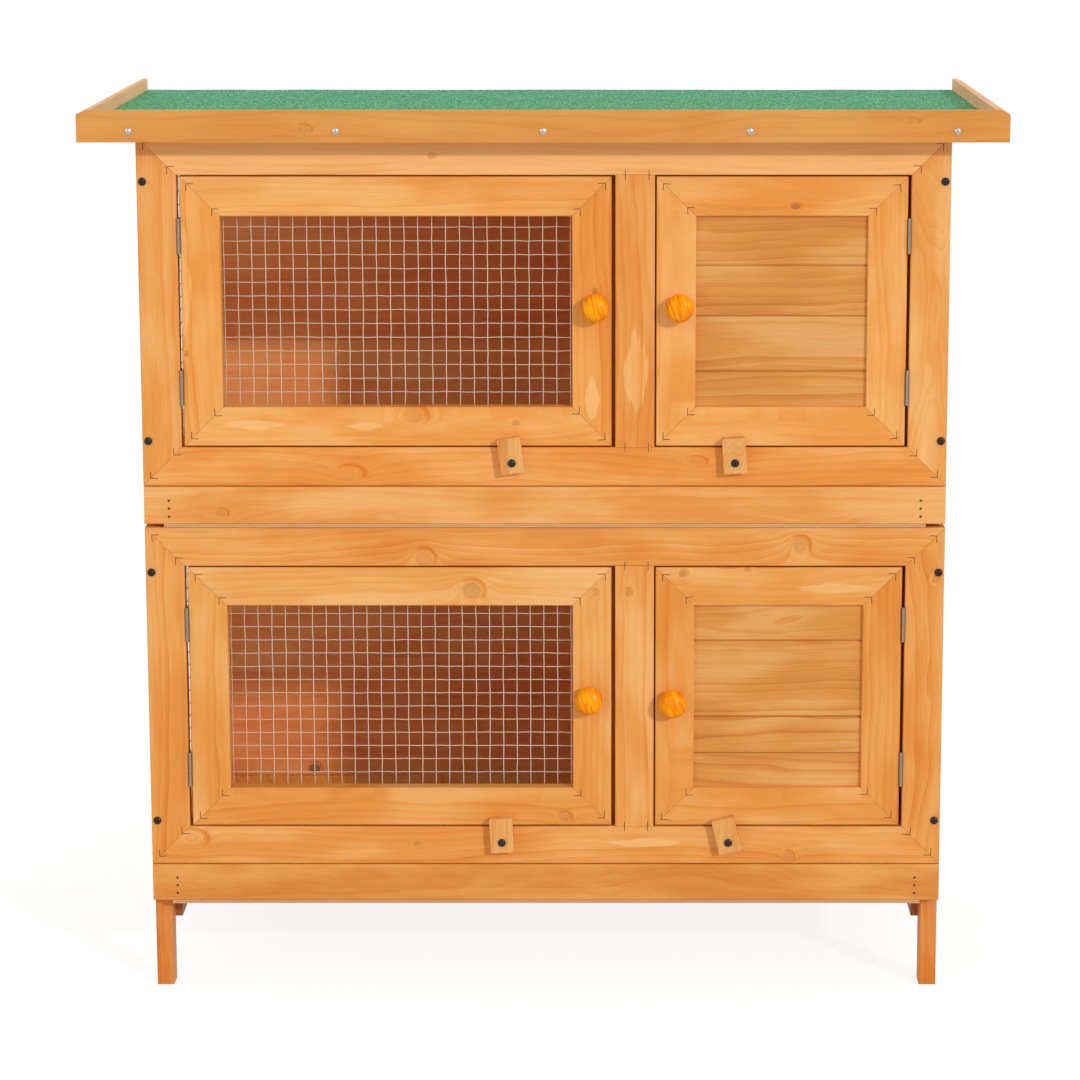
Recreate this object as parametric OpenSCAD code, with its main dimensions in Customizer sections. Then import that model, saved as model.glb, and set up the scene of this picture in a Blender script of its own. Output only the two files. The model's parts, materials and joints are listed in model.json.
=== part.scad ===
// Two-storey rabbit hutch: a timber carcass with wire mesh on its left side, four framed doors
// on butt hinges, four turn buttons, two pull-out trays and a felted roof.
// Millimetres, +Z up, floor at z = 0, origin at the middle of the roof's footprint, doors facing -Y.

/* [Body] */
// Width across the front frames
body_w = 740; // [640:1:900]
// Depth from the face of the front frames to the back of the rear posts
body_d = 380; // [320:1:460]
// Thickness of the planed timber in frames, doors, posts and tray fronts
stock_t = 16; // [14:0.5:20]
// Depth of each corner post, front to back
post_d = 24; // [24:1:36]
// Face width of every frame and door member
member_w = 36; // [30:1:44]
// Width of the eased edges of the planed timber
arris = 0.8; // [0.4:0.1:1.2]
// Distance of the centre stiles to the right of the middle
centre_x = 83; // [60:1:110]

/* [Storeys] */
// Clear height under the lower tray
leg_clear = 85; // [75:1:140]
// Height of the lower door opening
lower_opening_h = 249.5; // [235:0.5:300]
// Height of the upper door opening
upper_opening_h = 250.5; // [235:0.5:300]

/* [Boards] */
// Thickness of the tongue-and-groove wall boards
board_t = 9; // [8:0.5:10]
// Distance of the wall boards behind the face of their posts
board_set = 4; // [2.5:0.5:5]
// How far board ends are housed in a groove
housing = 8; // [5:0.5:8]
// Face cover of a side board
side_cover = 93; // [70:1:110]
// Face cover of a back board
back_cover = 86.5; // [70:0.5:110]
// Face cover of the lowest back board
back_first = 76.5; // [50:0.5:86]
// Length of a tongue
tongue_l = 4; // [3:0.5:5]
// Thickness of a tongue
tongue_t = 3; // [2:0.5:3.5]
// Play between a tongue and its groove, and between two boards
tongue_play = 0.2; // [0.1:0.05:0.3]
// Leg of the bevel that makes the V joint
v_joint = 1.7; // [1:0.1:2.2]

/* [Doors] */
// Gap above and below a door, and between a solid door and the centre stile
door_gap = 1.5; // [1:0.1:2.5]
// Gap between a mesh door and the centre stile
mesh_door_gap = 3.5; // [1:0.1:4]
// Gap between a door and its opening at the hinge side
hinge_gap = 3; // [2.4:0.1:3.2]
// Distance of the boards of a solid door behind its face
panel_set = 4; // [2.5:0.5:5]
// How far the boards of a solid door enter the groove in its frame
panel_housing = 6; // [4:0.5:8]
// Face cover of a board in the upper solid door
upper_panel_cover = 97.5; // [60:0.5:110]
// Face cover of the lowest board in the upper solid door
upper_panel_first = 38.5; // [20:0.5:80]
// Face cover of a board in the lower solid door
lower_panel_cover = 72.5; // [60:0.5:110]
// Face cover of the lowest board in the lower solid door
lower_panel_first = 73.5; // [20:0.5:80]

/* [Wire mesh] */
// Spacing of the wires
mesh_pitch = 12.7; // [12.7:0.1:25]
// Thickness of a wire
wire_d = 0.9; // [0.8:0.05:1.1]
// How deep the wires along the edge are welded into those that cross them
weld_bite = 0.18; // [0.1:0.01:0.25]
// Least reach of the mesh over the timber around it
mesh_lap = 5; // [3:0.5:6]
// Least reach of the mesh over the rails of a door
door_mesh_lap = 10; // [4:0.5:12]
// Height of the side windows' sills above the trays' side boards
sill_rise = 27; // [20:1:60]
// Distance of the lower side window under the runners of the upper tray
head_drop = 14; // [12:1:40]
// Greatest spacing of the staples that hold the mesh
staple_pitch = 75; // [40:1:100]

/* [Hinges] */
// Length of a butt hinge
hinge_l = 32.5; // [26:0.5:40]
// Width of a hinge leaf from the pin's axis
leaf_w = 13; // [11:0.5:14]
// Thickness of a hinge leaf
leaf_t = 0.9; // [0.7:0.05:1]
// Outer radius of the knuckles
knuckle_r = 1.5; // [1.4:0.05:1.55]
// Radius of the hinge pin
pin_r = 0.9; // [0.8:0.05:1]
// Number of knuckles on a hinge
knuckles = 5; // [3:2:5]
// Distance of the pin's axis in front of the door face
pin_proud = 1.2; // [1.1:0.05:1.4]
// Distance of a hinge's middle from the top or bottom of its door
hinge_inset = 54; // [40:1:60]

/* [Knobs] */
// Diameter of a knob
knob_d = 26; // [22:1:32]
// Height of a knob from the door face
knob_h = 22; // [20:1:26]
// Radius of a knob's waist
waist_r = 6.5; // [5.5:0.25:8]

/* [Turn buttons] */
// Width of a turn button
button_w = 21.5; // [18:0.5:24]
// Length of a turn button
button_l = 33; // [31:0.5:35]
// Thickness of a turn button
button_t = 9.5; // [7:0.5:12]
// Distance of the pivot from a button's lower end
button_tail = 10; // [9:0.5:12]
// Height of the pivots above the lower edge of the frame
button_rise = 23; // [20:0.5:25]
// Gap between a button and the face that it turns on
button_float = 0.3; // [0.3:0.05:0.6]

/* [Trays] */
// Height of a tray's front board
tray_front_h = 35; // [30:1:40]
// Height of a tray's side and back boards
tray_wall_h = 29; // [24:1:30]
// Thickness of a tray's side and back boards
tray_wall_t = 10; // [8:0.5:12]
// Thickness of a tray's plywood bottom
ply_t = 3; // [2.5:0.5:5]
// Sideways clearance of a tray between the posts
tray_side_play = 2; // [1:0.5:3]
// Clearance behind a pushed-in tray
tray_back_play = 7; // [4:1:15]
// Clearance under a tray's bottom where it slides over the frame
tray_under_play = 0.5; // [0.4:0.1:1]
// Clearance above a tray's front board
tray_over_play = 0.8; // [0.5:0.1:1.5]
// How far a tray rests on its runners
runner_lap = 4.5; // [3:0.5:6]
// Height of a runner strip
runner_h = 24; // [16:1:30]
// Gap between a runner and the tray on it
runner_play = 0.3; // [0.3:0.05:0.4]

/* [Partitions] */
// Thickness of the inner partitions
partition_t = 9; // [6:0.5:12]
// Width of the pop hole in a partition
pop_w = 150; // [120:1:180]
// Height of the pop hole in a partition
pop_h = 200; // [170:1:220]
// How far a door shuts against the batten at its knob side
stop_lap = 6; // [4:0.5:8]
// Thickness of the battens that stop the doors and hold the partitions
batten_t = 10; // [8:0.5:16]

/* [Roof] */
// Overhang of the roof at each side of the body
roof_side = 49; // [25:1:80]
// Depth of the roof
roof_d = 432; // [410:1:520]
// Overhang of the roof in front of the frames
roof_front = 31; // [27:1:40]
// Thickness of the roof boards
roof_board_t = 12; // [10:0.5:14]
// Thickness of the roofing felt
felt_t = 1.6; // [1:0.1:2.5]
// Height of the fascia and of the side strips
fascia_h = 28.5; // [24:0.5:36]
// Thickness of the fascia and of the side strips
fascia_t = 12; // [10:0.5:14]
// How far the fascia hangs below the roof boards
fascia_drop = 4; // [2:0.5:5]
// Width of the bevel along the outer top edges of the roof trim
bevel_w = 7; // [3:0.5:9]
// Height of the bevel along the outer top edges of the roof trim
bevel_h = 3.5; // [2:0.5:5]

/* [Screws and nails] */
// Head diameter of the black screws
screw_head_d = 7.4; // [6.5:0.1:9]
// Shank diameter of the black screws
screw_d = 3.5; // [3:0.1:4]
// Distance of the frame screws from the outer edge of the frames
screw_inset = 5.5; // [5:0.5:8]
// Distance of the frame screws from the ends of the frames
screw_from_end = 42; // [38:1:60]
// Head diameter of the bright roof screws
roof_screw_head_d = 6; // [5:0.1:7]
// Shank diameter of the bright roof screws
roof_screw_d = 3; // [2.5:0.1:3.5]
// Head diameter of the hinge screws
hinge_screw_head_d = 4.2; // [3.6:0.1:4.6]
// Shank diameter of the hinge screws
hinge_screw_d = 2.2; // [1.8:0.1:2.6]
// Thickness of a staple's wire
staple_t = 0.9; // [0.6:0.1:1.2]
// Diameter of the tray nails
nail_d = 1.6; // [1.2:0.1:2]
// Head diameter of the tray nails
nail_head_d = 2.6; // [2.2:0.1:3.2]

/* [Hidden] */
$fn = 48;
eps = 1; // overshoot of a cut through an open face

// Colours of the timber and the metal
pine = "#e8a35a";
pine_shade = "#c98448";
pine_pale = "#dcb287";
knob_gold = "#f59c14";
felt_green = "#65a97d";
steel = "#b9bcc0";
black_steel = "#1d1b1a";

// Storeys, lower first
LOWER = 0;
UPPER = 1;
lower_ply_z = leg_clear;
lower_frame_z = lower_ply_z + ply_t + tray_front_h + tray_over_play;
lower_frame_top = lower_frame_z + lower_opening_h + 2 * member_w;
upper_ply_z = lower_frame_top + tray_under_play;
upper_frame_z = upper_ply_z + ply_t + tray_front_h + tray_over_play;
eaves_z = upper_frame_z + upper_opening_h + 2 * member_w;
ply_z = [lower_ply_z, upper_ply_z];
frame_z = [lower_frame_z, upper_frame_z];
frame_top = [lower_frame_top, eaves_z];

// Depths, counted from the face of the front frames
front_y = roof_front - roof_d / 2;
rear_y = front_y + body_d;
post_front_y = front_y + stock_t;
back_in_y = rear_y - board_set - board_t;
side_x = body_w / 2;
side_in_x = side_x - board_set - board_t;
post_in_x = side_x - stock_t;
runner_z = [ply_z[LOWER] - runner_play - runner_h, ply_z[UPPER] - runner_play - runner_h];
wall_z = runner_z[LOWER];

// Doors: upper mesh, upper solid, lower mesh, lower solid
DOORS = [0, 1, 2, 3];
door_storey = [UPPER, UPPER, LOWER, LOWER];
hand = [-1, 1, -1, 1]; // side of the hinges
left_in_x = member_w - side_x;
right_in_x = side_x - member_w;
post_gap_x = member_w / 2;
mesh_x = [left_in_x + hinge_gap, centre_x - post_gap_x - mesh_door_gap];
solid_x = [centre_x + post_gap_x + door_gap, right_in_x - hinge_gap];
door_x = [mesh_x, solid_x, mesh_x, solid_x];
function door_z(d) = frame_z[door_storey[d]] + member_w + door_gap;
function door_h(d) = frame_top[door_storey[d]] - member_w - door_gap - door_z(d);
function door_w(d) = door_x[d][1] - door_x[d][0];
function hinge_x(d) = hand[d] < 0 ? mesh_x[0] - hinge_gap / 2 : solid_x[1] + hinge_gap / 2;
function hinge_z(d) = [door_z(d) + hinge_inset, door_z(d) + door_h(d) - hinge_inset];
pin_y = front_y - pin_proud;

// Knobs sit on the stile away from the hinges, each a little off its middle
knob_dx = [3, 3, -3, -2];
knob_dz = [5, 5, -1, -4];
knob_foot = 0.36; // share of a knob's height below its head
knob_cove = 0.56; // share of the foot's height in the radius of its hollow
knob_dome = 0.77; // share of a knob's diameter in the radius of its top
function knob_x(d) = door_x[d][hand[d] < 0 ? 1 : 0] + hand[d] * member_w / 2 + knob_dx[d];
function knob_z(d) = door_z(d) + door_h(d) / 2 + knob_dz[d];
knob_screw_bite = 10;
knob_screw_d = 3;
knob_head_d = 5;

// Turn buttons: distance of the pivot from the centre of the centre stile, and lean
button_dx = [-113, 92, -124, 88];
button_lean = [8, 3.5, 3, 13];
function button_x(d) = centre_x + button_dx[d];
function button_z(d) = frame_z[door_storey[d]] + button_rise;
button_turn_play = 0.08;
button_screw_bite = 12;
button_ease = 0.8;

// Hinges
knuckle_l = hinge_l / knuckles;
knuckle_play = 0.15;
turn_play = 0.06;
leaf_clear = 0.2;
hinge_screw_l = 14;
hinge_screw_dz = 0.28 * hinge_l;
hinge_screw_y = 0.62 * leaf_w;

// Mesh and staples
mesh_seat = 0.05; // gap between the mesh and the timber behind it
mesh_over = 1; // length of a wire past the last one that it crosses
weld_gap = 0.02; // gap between crossing wires away from the edge
weld_shift = weld_bite + weld_gap;
function wires(opening, lap) = ceil((opening + 2 * lap) / mesh_pitch);
function overlap(opening, lap) = (wires(opening, lap) * mesh_pitch - opening) / 2;
staple_w = 9;
staple_l = 10;
staple_step = round(staple_pitch / mesh_pitch);
staple_first = round(staple_step / 2);
staple_play = 0.1;

// Windows in the left side, one per storey, between the posts
side_l = body_d - stock_t - 2 * post_d;
side_low = [ply_z[LOWER] + ply_t + tray_wall_h + sill_rise, ply_z[UPPER] + ply_t + tray_wall_h + sill_rise];
side_high = [runner_z[UPPER] - head_drop, eaves_z - member_w];

// Screws
head_h = 2.2;
head_dome = 0.8; // share of a head's diameter in the radius of its dome
frame_screw_bite = 14; // reach of a screw into the piece behind
fascia_screw_bite = 18;
frame_screw_l = stock_t + frame_screw_bite;
fascia_screw_l = fascia_t + fascia_screw_bite;
fascia_screw_edge = 47;
fascia_screws = 5;
cross_l = 0.62; // share of the head that the recess crosses
cross_w = 0.16; // share of the head that a recess arm is wide
cross_deep = 0.5; // share of the head's height

// Trays
tray_x = post_in_x - tray_side_play;
tray_d = body_d - board_set - board_t - tray_back_play;
tray_corner = 0.1; // gap between the back board of a tray and its side boards
partition_lift = 2; // clearance of a partition above the tray walls under it
nail_l = 34;
nail_sink = 0.6;
nail_head_h = 1;
nail_low = 7; // height of the lowest nail above the bottom
nail_step = 7.5;
nails = 3;

// Roof
roof_w = body_w + 2 * roof_side;
roof_z = eaves_z;
trim_z = roof_z - fascia_drop;
roof_x = roof_w / 2;
roof_in_x = roof_x - fascia_t;
roof_y = roof_d / 2;
roof_board_y = -roof_y + fascia_t;
roof_boards_n = 5;
felt_play = 0.3; // gap between the felt and the roof trim
roof_cover = (roof_y - roof_board_y) / roof_boards_n;
strip_screw_boards = [0, 2, 4];

// ---- Shapes that repeat ----

// A flat piece: a 2D outline in X and Z, t thick, with its front at y
module slab(y, t) {
    translate([0, y + t, 0])
        rotate([90, 0, 0])
            linear_extrude(t) children();
}

// Planed timber with eased long edges: l along X, t along Y, w along Z
module timber(l, w, t) {
    e = arris;
    rotate([90, 0, 90])
        linear_extrude(l)
            polygon([[e, 0], [t - e, 0], [t, e], [t, w - e], [t - e, w], [e, w], [0, w - e], [0, e]]);
}

// One member of a mitred frame, its long edge along X from the origin
module mitred(l) {
    intersection() {
        timber(l, member_w, stock_t);
        slab(0, stock_t) polygon([[0, 0], [l, 0], [l - member_w, member_w], [member_w, member_w]]);
    }
}

module rail_pair(x, z, l, h) {
    translate([x, front_y, z]) mitred(l);
    translate([x + l, front_y, z + h]) rotate([0, 180, 0]) mitred(l);
}

module stile_pair(x, z, l, h) {
    translate([x, front_y, z + h]) rotate([0, 90, 0]) mitred(h);
    translate([x + l, front_y, z]) rotate([0, -90, 0]) mitred(h);
}

// Section of one board: x runs through its thickness from the bevelled face, y along its cover
module board_section(cover, t, has_groove, has_tongue) {
    a = (t - tongue_t) / 2;
    b = (t + tongue_t) / 2;
    foot = has_groove
        ? [[t, 0], [b + tongue_play, 0], [b + tongue_play, tongue_l + tongue_play],
           [a - tongue_play, tongue_l + tongue_play], [a - tongue_play, 0], [v_joint, 0], [0, v_joint]]
        : [[t, 0], [0, 0]];
    top = cover - (has_tongue ? tongue_play : 0);
    head = has_tongue
        ? [[0, top - v_joint], [v_joint, top], [a, top], [a, cover + tongue_l - tongue_play],
           [b, cover + tongue_l - tongue_play], [b, top], [t, top]]
        : [[0, top], [t, top]];
    polygon(concat(foot, head));
}

// Boards stacked upwards from z = 0, running along X, with their bevelled face at y = 0
module boards(l, h, first, cover, t) {
    n = ceil((h - first) / cover - 0.05);
    for (i = [0 : n]) {
        low = i == 0 ? 0 : first + (i - 1) * cover;
        high = i == n ? h : first + i * cover;
        translate([0, 0, low])
            rotate([90, 0, 90])
                linear_extrude(l) board_section(high - low, t, i > 0, i < n);
    }
}

// A pan-head screw standing on z = 0 with its shank below
module pan_screw(hd, sd, l) {
    dome_r = hd * head_dome;
    difference() {
        union() {
            rotate_extrude()
                intersection() {
                    square([hd / 2, head_h]);
                    translate([0, head_h - dome_r]) circle(dome_r);
                }
            translate([0, 0, -l]) cylinder(h = l, d = sd);
        }
        cross_recess(hd, head_h);
    }
}

module cross_recess(hd, z) {
    for (a = [0, 90])
        rotate(a)
            translate([-hd * cross_l / 2, -hd * cross_w / 2, z - head_h * cross_deep])
                cube([hd * cross_l, hd * cross_w, head_h]);
}

// Everything on the far side is the near side mirrored across the middle
module both_sides() {
    children();
    mirror([1, 0, 0]) children();
}

module facing_front(x, y, z) {
    translate([x, y, z]) rotate([90, 0, 0]) children();
}

// Stands its children on the back face of the front frames and doors
module facing_back(x, z) {
    translate([x, front_y + stock_t, z]) rotate([-90, 0, 0]) children();
}

// Welded mesh over an opening w by h, whose lower left corner is the origin. Its upright wires lie
// on the timber and its level wires behind them, and it is welded all along its edge.
module mesh_panel(w, h, lap_z) {
    columns = wires(w, mesh_lap);
    rows = wires(h, lap_z);
    color(steel)
        translate([-overlap(w, mesh_lap), mesh_seat + wire_d / 2, -overlap(h, lap_z)]) {
            for (i = [0 : columns])
                translate([i * mesh_pitch, i % columns == 0 ? weld_shift : 0, -mesh_over])
                    cylinder(h = rows * mesh_pitch + 2 * mesh_over, d = wire_d);
            for (i = [0 : rows]) {
                y = i % rows == 0 ? wire_d - weld_bite : wire_d + weld_gap;
                translate([-mesh_over, y, i * mesh_pitch])
                    rotate([0, 90, 0]) cylinder(h = columns * mesh_pitch + 2 * mesh_over, d = wire_d);
            }
        }
}

// Staples in the middle of the lap: astride upright wires on the rails, level wires on the stiles
module mesh_staples(w, h, lap_z) {
    columns = wires(w, mesh_lap);
    rows = wires(h, lap_z);
    lap_w = overlap(w, mesh_lap);
    lap_h = overlap(h, lap_z);
    color(steel) {
        for (i = [staple_first : staple_step : columns - staple_first], z = [-lap_h / 2, h + lap_h / 2])
            translate([i * mesh_pitch - lap_w, 0, z]) rotate([-90, 0, 0]) staple();
        for (i = [staple_first : staple_step : rows - staple_first], x = [-lap_w / 2, w + lap_w / 2])
            translate([x, 0, i * mesh_pitch - lap_h]) rotate([-90, 90, 0]) staple();
    }
}

// A staple astride a wire along Y, standing on z = 0 with its legs below
module staple() {
    top = mesh_seat + 2 * wire_d + weld_gap + staple_play;
    translate([-staple_w / 2, -staple_t / 2, top]) cube([staple_w, staple_t, staple_t]);
    for (x = [-staple_w / 2, staple_w / 2 - staple_t])
        translate([x, -staple_t / 2, -staple_l]) cube([staple_t, staple_t, staple_l + top]);
}

// ---- Carcass ----

module front_post() {
    difference() {
        translate([-post_in_x, post_front_y, 0]) rotate([0, -90, 0]) timber(eaves_z, stock_t, post_d);
        frame_screw_bores();
    }
}

module rear_post() {
    difference() {
        translate([-post_in_x, rear_y - post_d, 0]) rotate([0, -90, 0]) timber(eaves_z, stock_t, post_d);
        translate([-post_in_x - housing, back_in_y, wall_z]) cube([housing + eps, board_t, eaves_z]);
    }
}

// Grooves of the posts that house the ends of the side boards
module side_grooves() {
    y = post_front_y + post_d - housing;
    translate([-side_x + board_set, y, wall_z]) cube([board_t, side_l + 2 * housing, eaves_z]);
}

module front_posts() {
    color(pine) {
        difference() {
            front_post();
            left_side_staples();
        }
        mirror([1, 0, 0])
            difference() {
                front_post();
                side_grooves();
            }
    }
}

module rear_posts() {
    color(pine) {
        difference() {
            rear_post();
            left_side_staples();
        }
        mirror([1, 0, 0])
            difference() {
                rear_post();
                side_grooves();
            }
    }
}

// Three rails frame the two windows of the left side
module left_side_rails() {
    low = [wall_z, side_high[LOWER], side_high[UPPER]];
    high = [side_low[LOWER], side_low[UPPER], eaves_z];
    color(pine)
        difference() {
            for (i = [0 : 2])
                translate([-post_in_x, post_front_y + post_d, low[i]])
                    rotate([0, 0, 90]) timber(side_l, high[i] - low[i], stock_t);
            left_side_staples();
        }
}

// Puts its children at the rear lower corner of a side window, on the inner face of its frame
module at_side_window(s) {
    translate([-post_in_x, rear_y - post_d, side_low[s]]) rotate([0, 0, -90]) children();
}

module left_side_mesh() {
    for (s = [LOWER, UPPER])
        at_side_window(s) mesh_panel(side_l, side_high[s] - side_low[s], mesh_lap);
}

module left_side_staples() {
    for (s = [LOWER, UPPER])
        at_side_window(s) mesh_staples(side_l, side_high[s] - side_low[s], mesh_lap);
}

module right_side_boards() {
    l = side_l + 2 * housing;
    color(pine_shade)
        translate([side_x - board_set, post_front_y + post_d - housing, wall_z])
            rotate([0, 0, 90]) boards(l, eaves_z - wall_z, side_cover, side_cover, board_t);
}

module back_boards() {
    l = 2 * (post_in_x + housing);
    color(pine_shade)
        translate([l / 2, back_in_y + board_t, wall_z])
            rotate([0, 0, 180])
                boards(l, eaves_z - wall_z, back_first, back_cover, board_t);
}

// ---- Front frames ----

function frame_screw_z(s) = [frame_z[s] + screw_from_end, frame_top[s] - screw_from_end];

module frame_screw_bores() {
    for (s = [LOWER, UPPER], z = frame_screw_z(s))
        facing_front(-side_x + screw_inset, front_y + frame_screw_l, z)
            cylinder(h = frame_screw_l + eps, d = screw_d);
}

module frame_rails(s) {
    difference() {
        rail_pair(-side_x, frame_z[s], body_w, frame_top[s] - frame_z[s]);
        for (d = DOORS)
            if (door_storey[d] == s)
                facing_front(button_x(d), front_y + button_screw_bite, button_z(d))
                    cylinder(h = button_screw_bite + eps, d = screw_d);
    }
}

module frame_stiles(s) {
    difference() {
        stile_pair(-side_x, frame_z[s], body_w, frame_top[s] - frame_z[s]);
        both_sides() frame_screw_bores();
        for (d = DOORS)
            hinge_screw_bores(d, 1);
    }
    translate([centre_x + member_w / 2, front_y, frame_z[s] + member_w])
        rotate([0, -90, 0]) timber(frame_top[s] - frame_z[s] - 2 * member_w, member_w, stock_t);
}

module upper_frame_rails() {
    color(pine) frame_rails(UPPER);
}

module upper_frame_stiles() {
    color(pine) frame_stiles(UPPER);
}

module lower_frame_rails() {
    color(pine) frame_rails(LOWER);
}

module lower_frame_stiles() {
    color(pine) frame_stiles(LOWER);
}

module frame_screws() {
    color(black_steel)
        both_sides()
            for (s = [LOWER, UPPER], z = frame_screw_z(s))
                facing_front(-side_x + screw_inset, front_y, z)
                    pan_screw(screw_head_d, screw_d, frame_screw_l);
}

// ---- Inner partitions, each with an arched pop hole at its foot ----

function partition_z(s) = ply_z[s] + ply_t + tray_wall_h + partition_lift;

module partitions() {
    l = back_in_y - post_front_y;
    color(pine_shade)
        for (s = [LOWER, UPPER])
            translate([centre_x - partition_t / 2, post_front_y, partition_z(s)])
                rotate([90, 0, 90])
                    linear_extrude(partition_t)
                        difference() {
                            square([l, frame_top[s] - partition_z(s)]);
                            pop_hole(l);
                        }
}

module pop_hole(l) {
    translate([l / 2, pop_h - pop_w / 2]) circle(d = pop_w);
    translate([(l - pop_w) / 2, -eps]) square([pop_w, pop_h - pop_w / 2 + eps]);
}

// Upright battens in the corners between the partitions and the centre stiles
module door_stop_battens() {
    reach = [door_gap, mesh_door_gap] + [1, 1] * (member_w / 2 + stop_lap);
    color(pine_shade)
        for (s = [LOWER, UPPER], side = [0, 1])
            translate([centre_x, post_front_y, frame_z[s] + member_w])
                mirror([side, 0, 0])
                    translate([partition_t / 2, 0, 0])
                        cube([reach[side] - partition_t / 2, batten_t,
                              frame_top[s] - frame_z[s] - 2 * member_w]);
}

// ---- Tray runners ----

// Runners stand against the side's inner face, which is at x_side, and reach under the tray
module runner_pair(x_side) {
    for (s = [LOWER, UPPER])
        translate([tray_x - runner_lap, post_front_y + post_d, runner_z[s]])
            cube([x_side - tray_x + runner_lap, side_l, runner_h]);
}

module tray_runners() {
    color(pine_shade) {
        runner_pair(side_in_x);
        mirror([1, 0, 0]) runner_pair(post_in_x);
    }
}

// ---- Roof ----

module roof_boards() {
    l = 2 * roof_in_x;
    color(pine_shade)
        difference() {
            translate([-roof_in_x, roof_y, roof_z])
                rotate([90, 0, 0])
                    boards(l, roof_y - roof_board_y, roof_cover, roof_cover, roof_board_t);
            fascia_screw_places() cylinder(h = 2 * fascia_screw_l, d = roof_screw_d, center = true);
            strip_screw_places() cylinder(h = 2 * fascia_screw_l, d = roof_screw_d, center = true);
        }
}

module roof_felt() {
    color(felt_green)
        translate([-roof_in_x + felt_play, roof_board_y + felt_play, roof_z + roof_board_t])
            cube([2 * (roof_in_x - felt_play), roof_y - roof_board_y - felt_play, felt_t]);
}

// Outline of the fascia: a board with bevelled top corners
module fascia_outline() {
    top = trim_z + fascia_h;
    polygon([[-roof_x, trim_z], [roof_x, trim_z], [roof_x, top - bevel_h], [roof_x - bevel_w, top],
             [-roof_x + bevel_w, top], [-roof_x, top - bevel_h]]);
}

module roof_fascia() {
    color(pine)
        difference() {
            slab(-roof_y, fascia_t) fascia_outline();
            fascia_screw_places() cylinder(h = 2 * fascia_screw_l, d = roof_screw_d, center = true);
        }
}

// The side strips carry the fascia's bevel on to the back
module roof_side_strips() {
    color(pine_pale)
        difference() {
            both_sides()
                intersection() {
                    slab(roof_board_y, roof_y - roof_board_y) fascia_outline();
                    translate([-roof_x, roof_board_y, trim_z])
                        cube([fascia_t, roof_y - roof_board_y, fascia_h]);
                }
            strip_screw_places() cylinder(h = 2 * fascia_screw_l, d = roof_screw_d, center = true);
        }
}

module fascia_screw_places() {
    reach = roof_x - fascia_screw_edge;
    for (i = [0 : fascia_screws - 1])
        facing_front(-reach + 2 * reach * i / (fascia_screws - 1), -roof_y, roof_z + roof_board_t / 2)
            children();
}

module strip_screw_places() {
    both_sides()
        for (i = strip_screw_boards)
            translate([-roof_x, roof_board_y + (i + 0.5) * roof_cover, roof_z + roof_board_t / 2])
                rotate([0, -90, 0]) children();
}

module roof_screws() {
    color(steel) {
        fascia_screw_places() pan_screw(roof_screw_head_d, roof_screw_d, fascia_screw_l);
        strip_screw_places() pan_screw(roof_screw_head_d, roof_screw_d, fascia_screw_l);
    }
}

// ---- Hinges: local axis along Z at the origin, leaf on the +X side, plate running to +Y ----

module leaf(mine, others) {
    x = hinge_gap / 2 - leaf_t;
    difference() {
        union() {
            translate([x, 0, -hinge_l / 2]) cube([leaf_t, leaf_w, hinge_l]);
            for (k = mine)
                translate([0, 0, -hinge_l / 2 + k * knuckle_l + knuckle_play / 2])
                    cylinder(h = knuckle_l - knuckle_play, r = knuckle_r);
        }
        for (k = others)
            translate([0, 0, -hinge_l / 2 + k * knuckle_l - knuckle_play / 2])
                cylinder(h = knuckle_l + knuckle_play, r = knuckle_r + leaf_clear);
        cylinder(h = hinge_l + eps, r = pin_r + (mine[0] == 0 ? 0 : turn_play), center = true);
        leaf_screw_places() leaf_countersink();
    }
}

module leaf_screw_places() {
    for (side = [-1, 1])
        translate([hinge_gap / 2 - leaf_t, hinge_screw_y, side * hinge_screw_dz])
            rotate([0, -90, 0]) children();
}

// Head of a hinge screw, flush with z = 0 and pointing down
module leaf_countersink() {
    translate([0, 0, -leaf_t]) cylinder(h = leaf_t, d1 = hinge_screw_d, d2 = hinge_screw_head_d);
}

module hinge_screw() {
    difference() {
        union() {
            leaf_countersink();
            translate([0, 0, -hinge_screw_l]) cylinder(h = hinge_screw_l - leaf_t, d = hinge_screw_d);
        }
        cross_recess(hinge_screw_head_d, head_h * cross_deep / 2);
    }
}

even_knuckles = [for (k = [0 : 2 : knuckles - 1]) k];
odd_knuckles = [for (k = [1 : 2 : knuckles - 1]) k];

// Puts its children at both hinges of a door; side is 1 for the frame's leaf, -1 for the door's
module at_hinges(d, side) {
    for (z = hinge_z(d))
        translate([hinge_x(d), pin_y, z])
            mirror([side * hand[d] > 0 ? 0 : 1, 0, 0]) children();
}

module hinge_screw_bores(d, side) {
    at_hinges(d, side)
        leaf_screw_places()
            translate([0, 0, -hinge_screw_l]) cylinder(h = hinge_screw_l, d = hinge_screw_d);
}

module frame_hinge_leaves() {
    color(steel)
        for (d = DOORS)
            at_hinges(d, 1) leaf(even_knuckles, odd_knuckles);
}

module hinge_pins() {
    color(steel)
        for (d = DOORS)
            at_hinges(d, 1) cylinder(h = hinge_l, r = pin_r, center = true);
}

module frame_hinge_screws() {
    color(steel)
        for (d = DOORS)
            at_hinges(d, 1) leaf_screw_places() hinge_screw();
}

// ---- Doors ----

module door_groove(d) {
    reach = member_w - panel_housing;
    translate([door_x[d][0] + reach, front_y + panel_set, door_z(d) + reach])
        cube([door_w(d) - 2 * reach, board_t, door_h(d) - 2 * reach]);
}

module door_rails(d, grooved) {
    color(pine)
        difference() {
            rail_pair(door_x[d][0], door_z(d), door_w(d), door_h(d));
            if (grooved)
                door_groove(d);
            else
                door_staples(d);
        }
}

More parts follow.
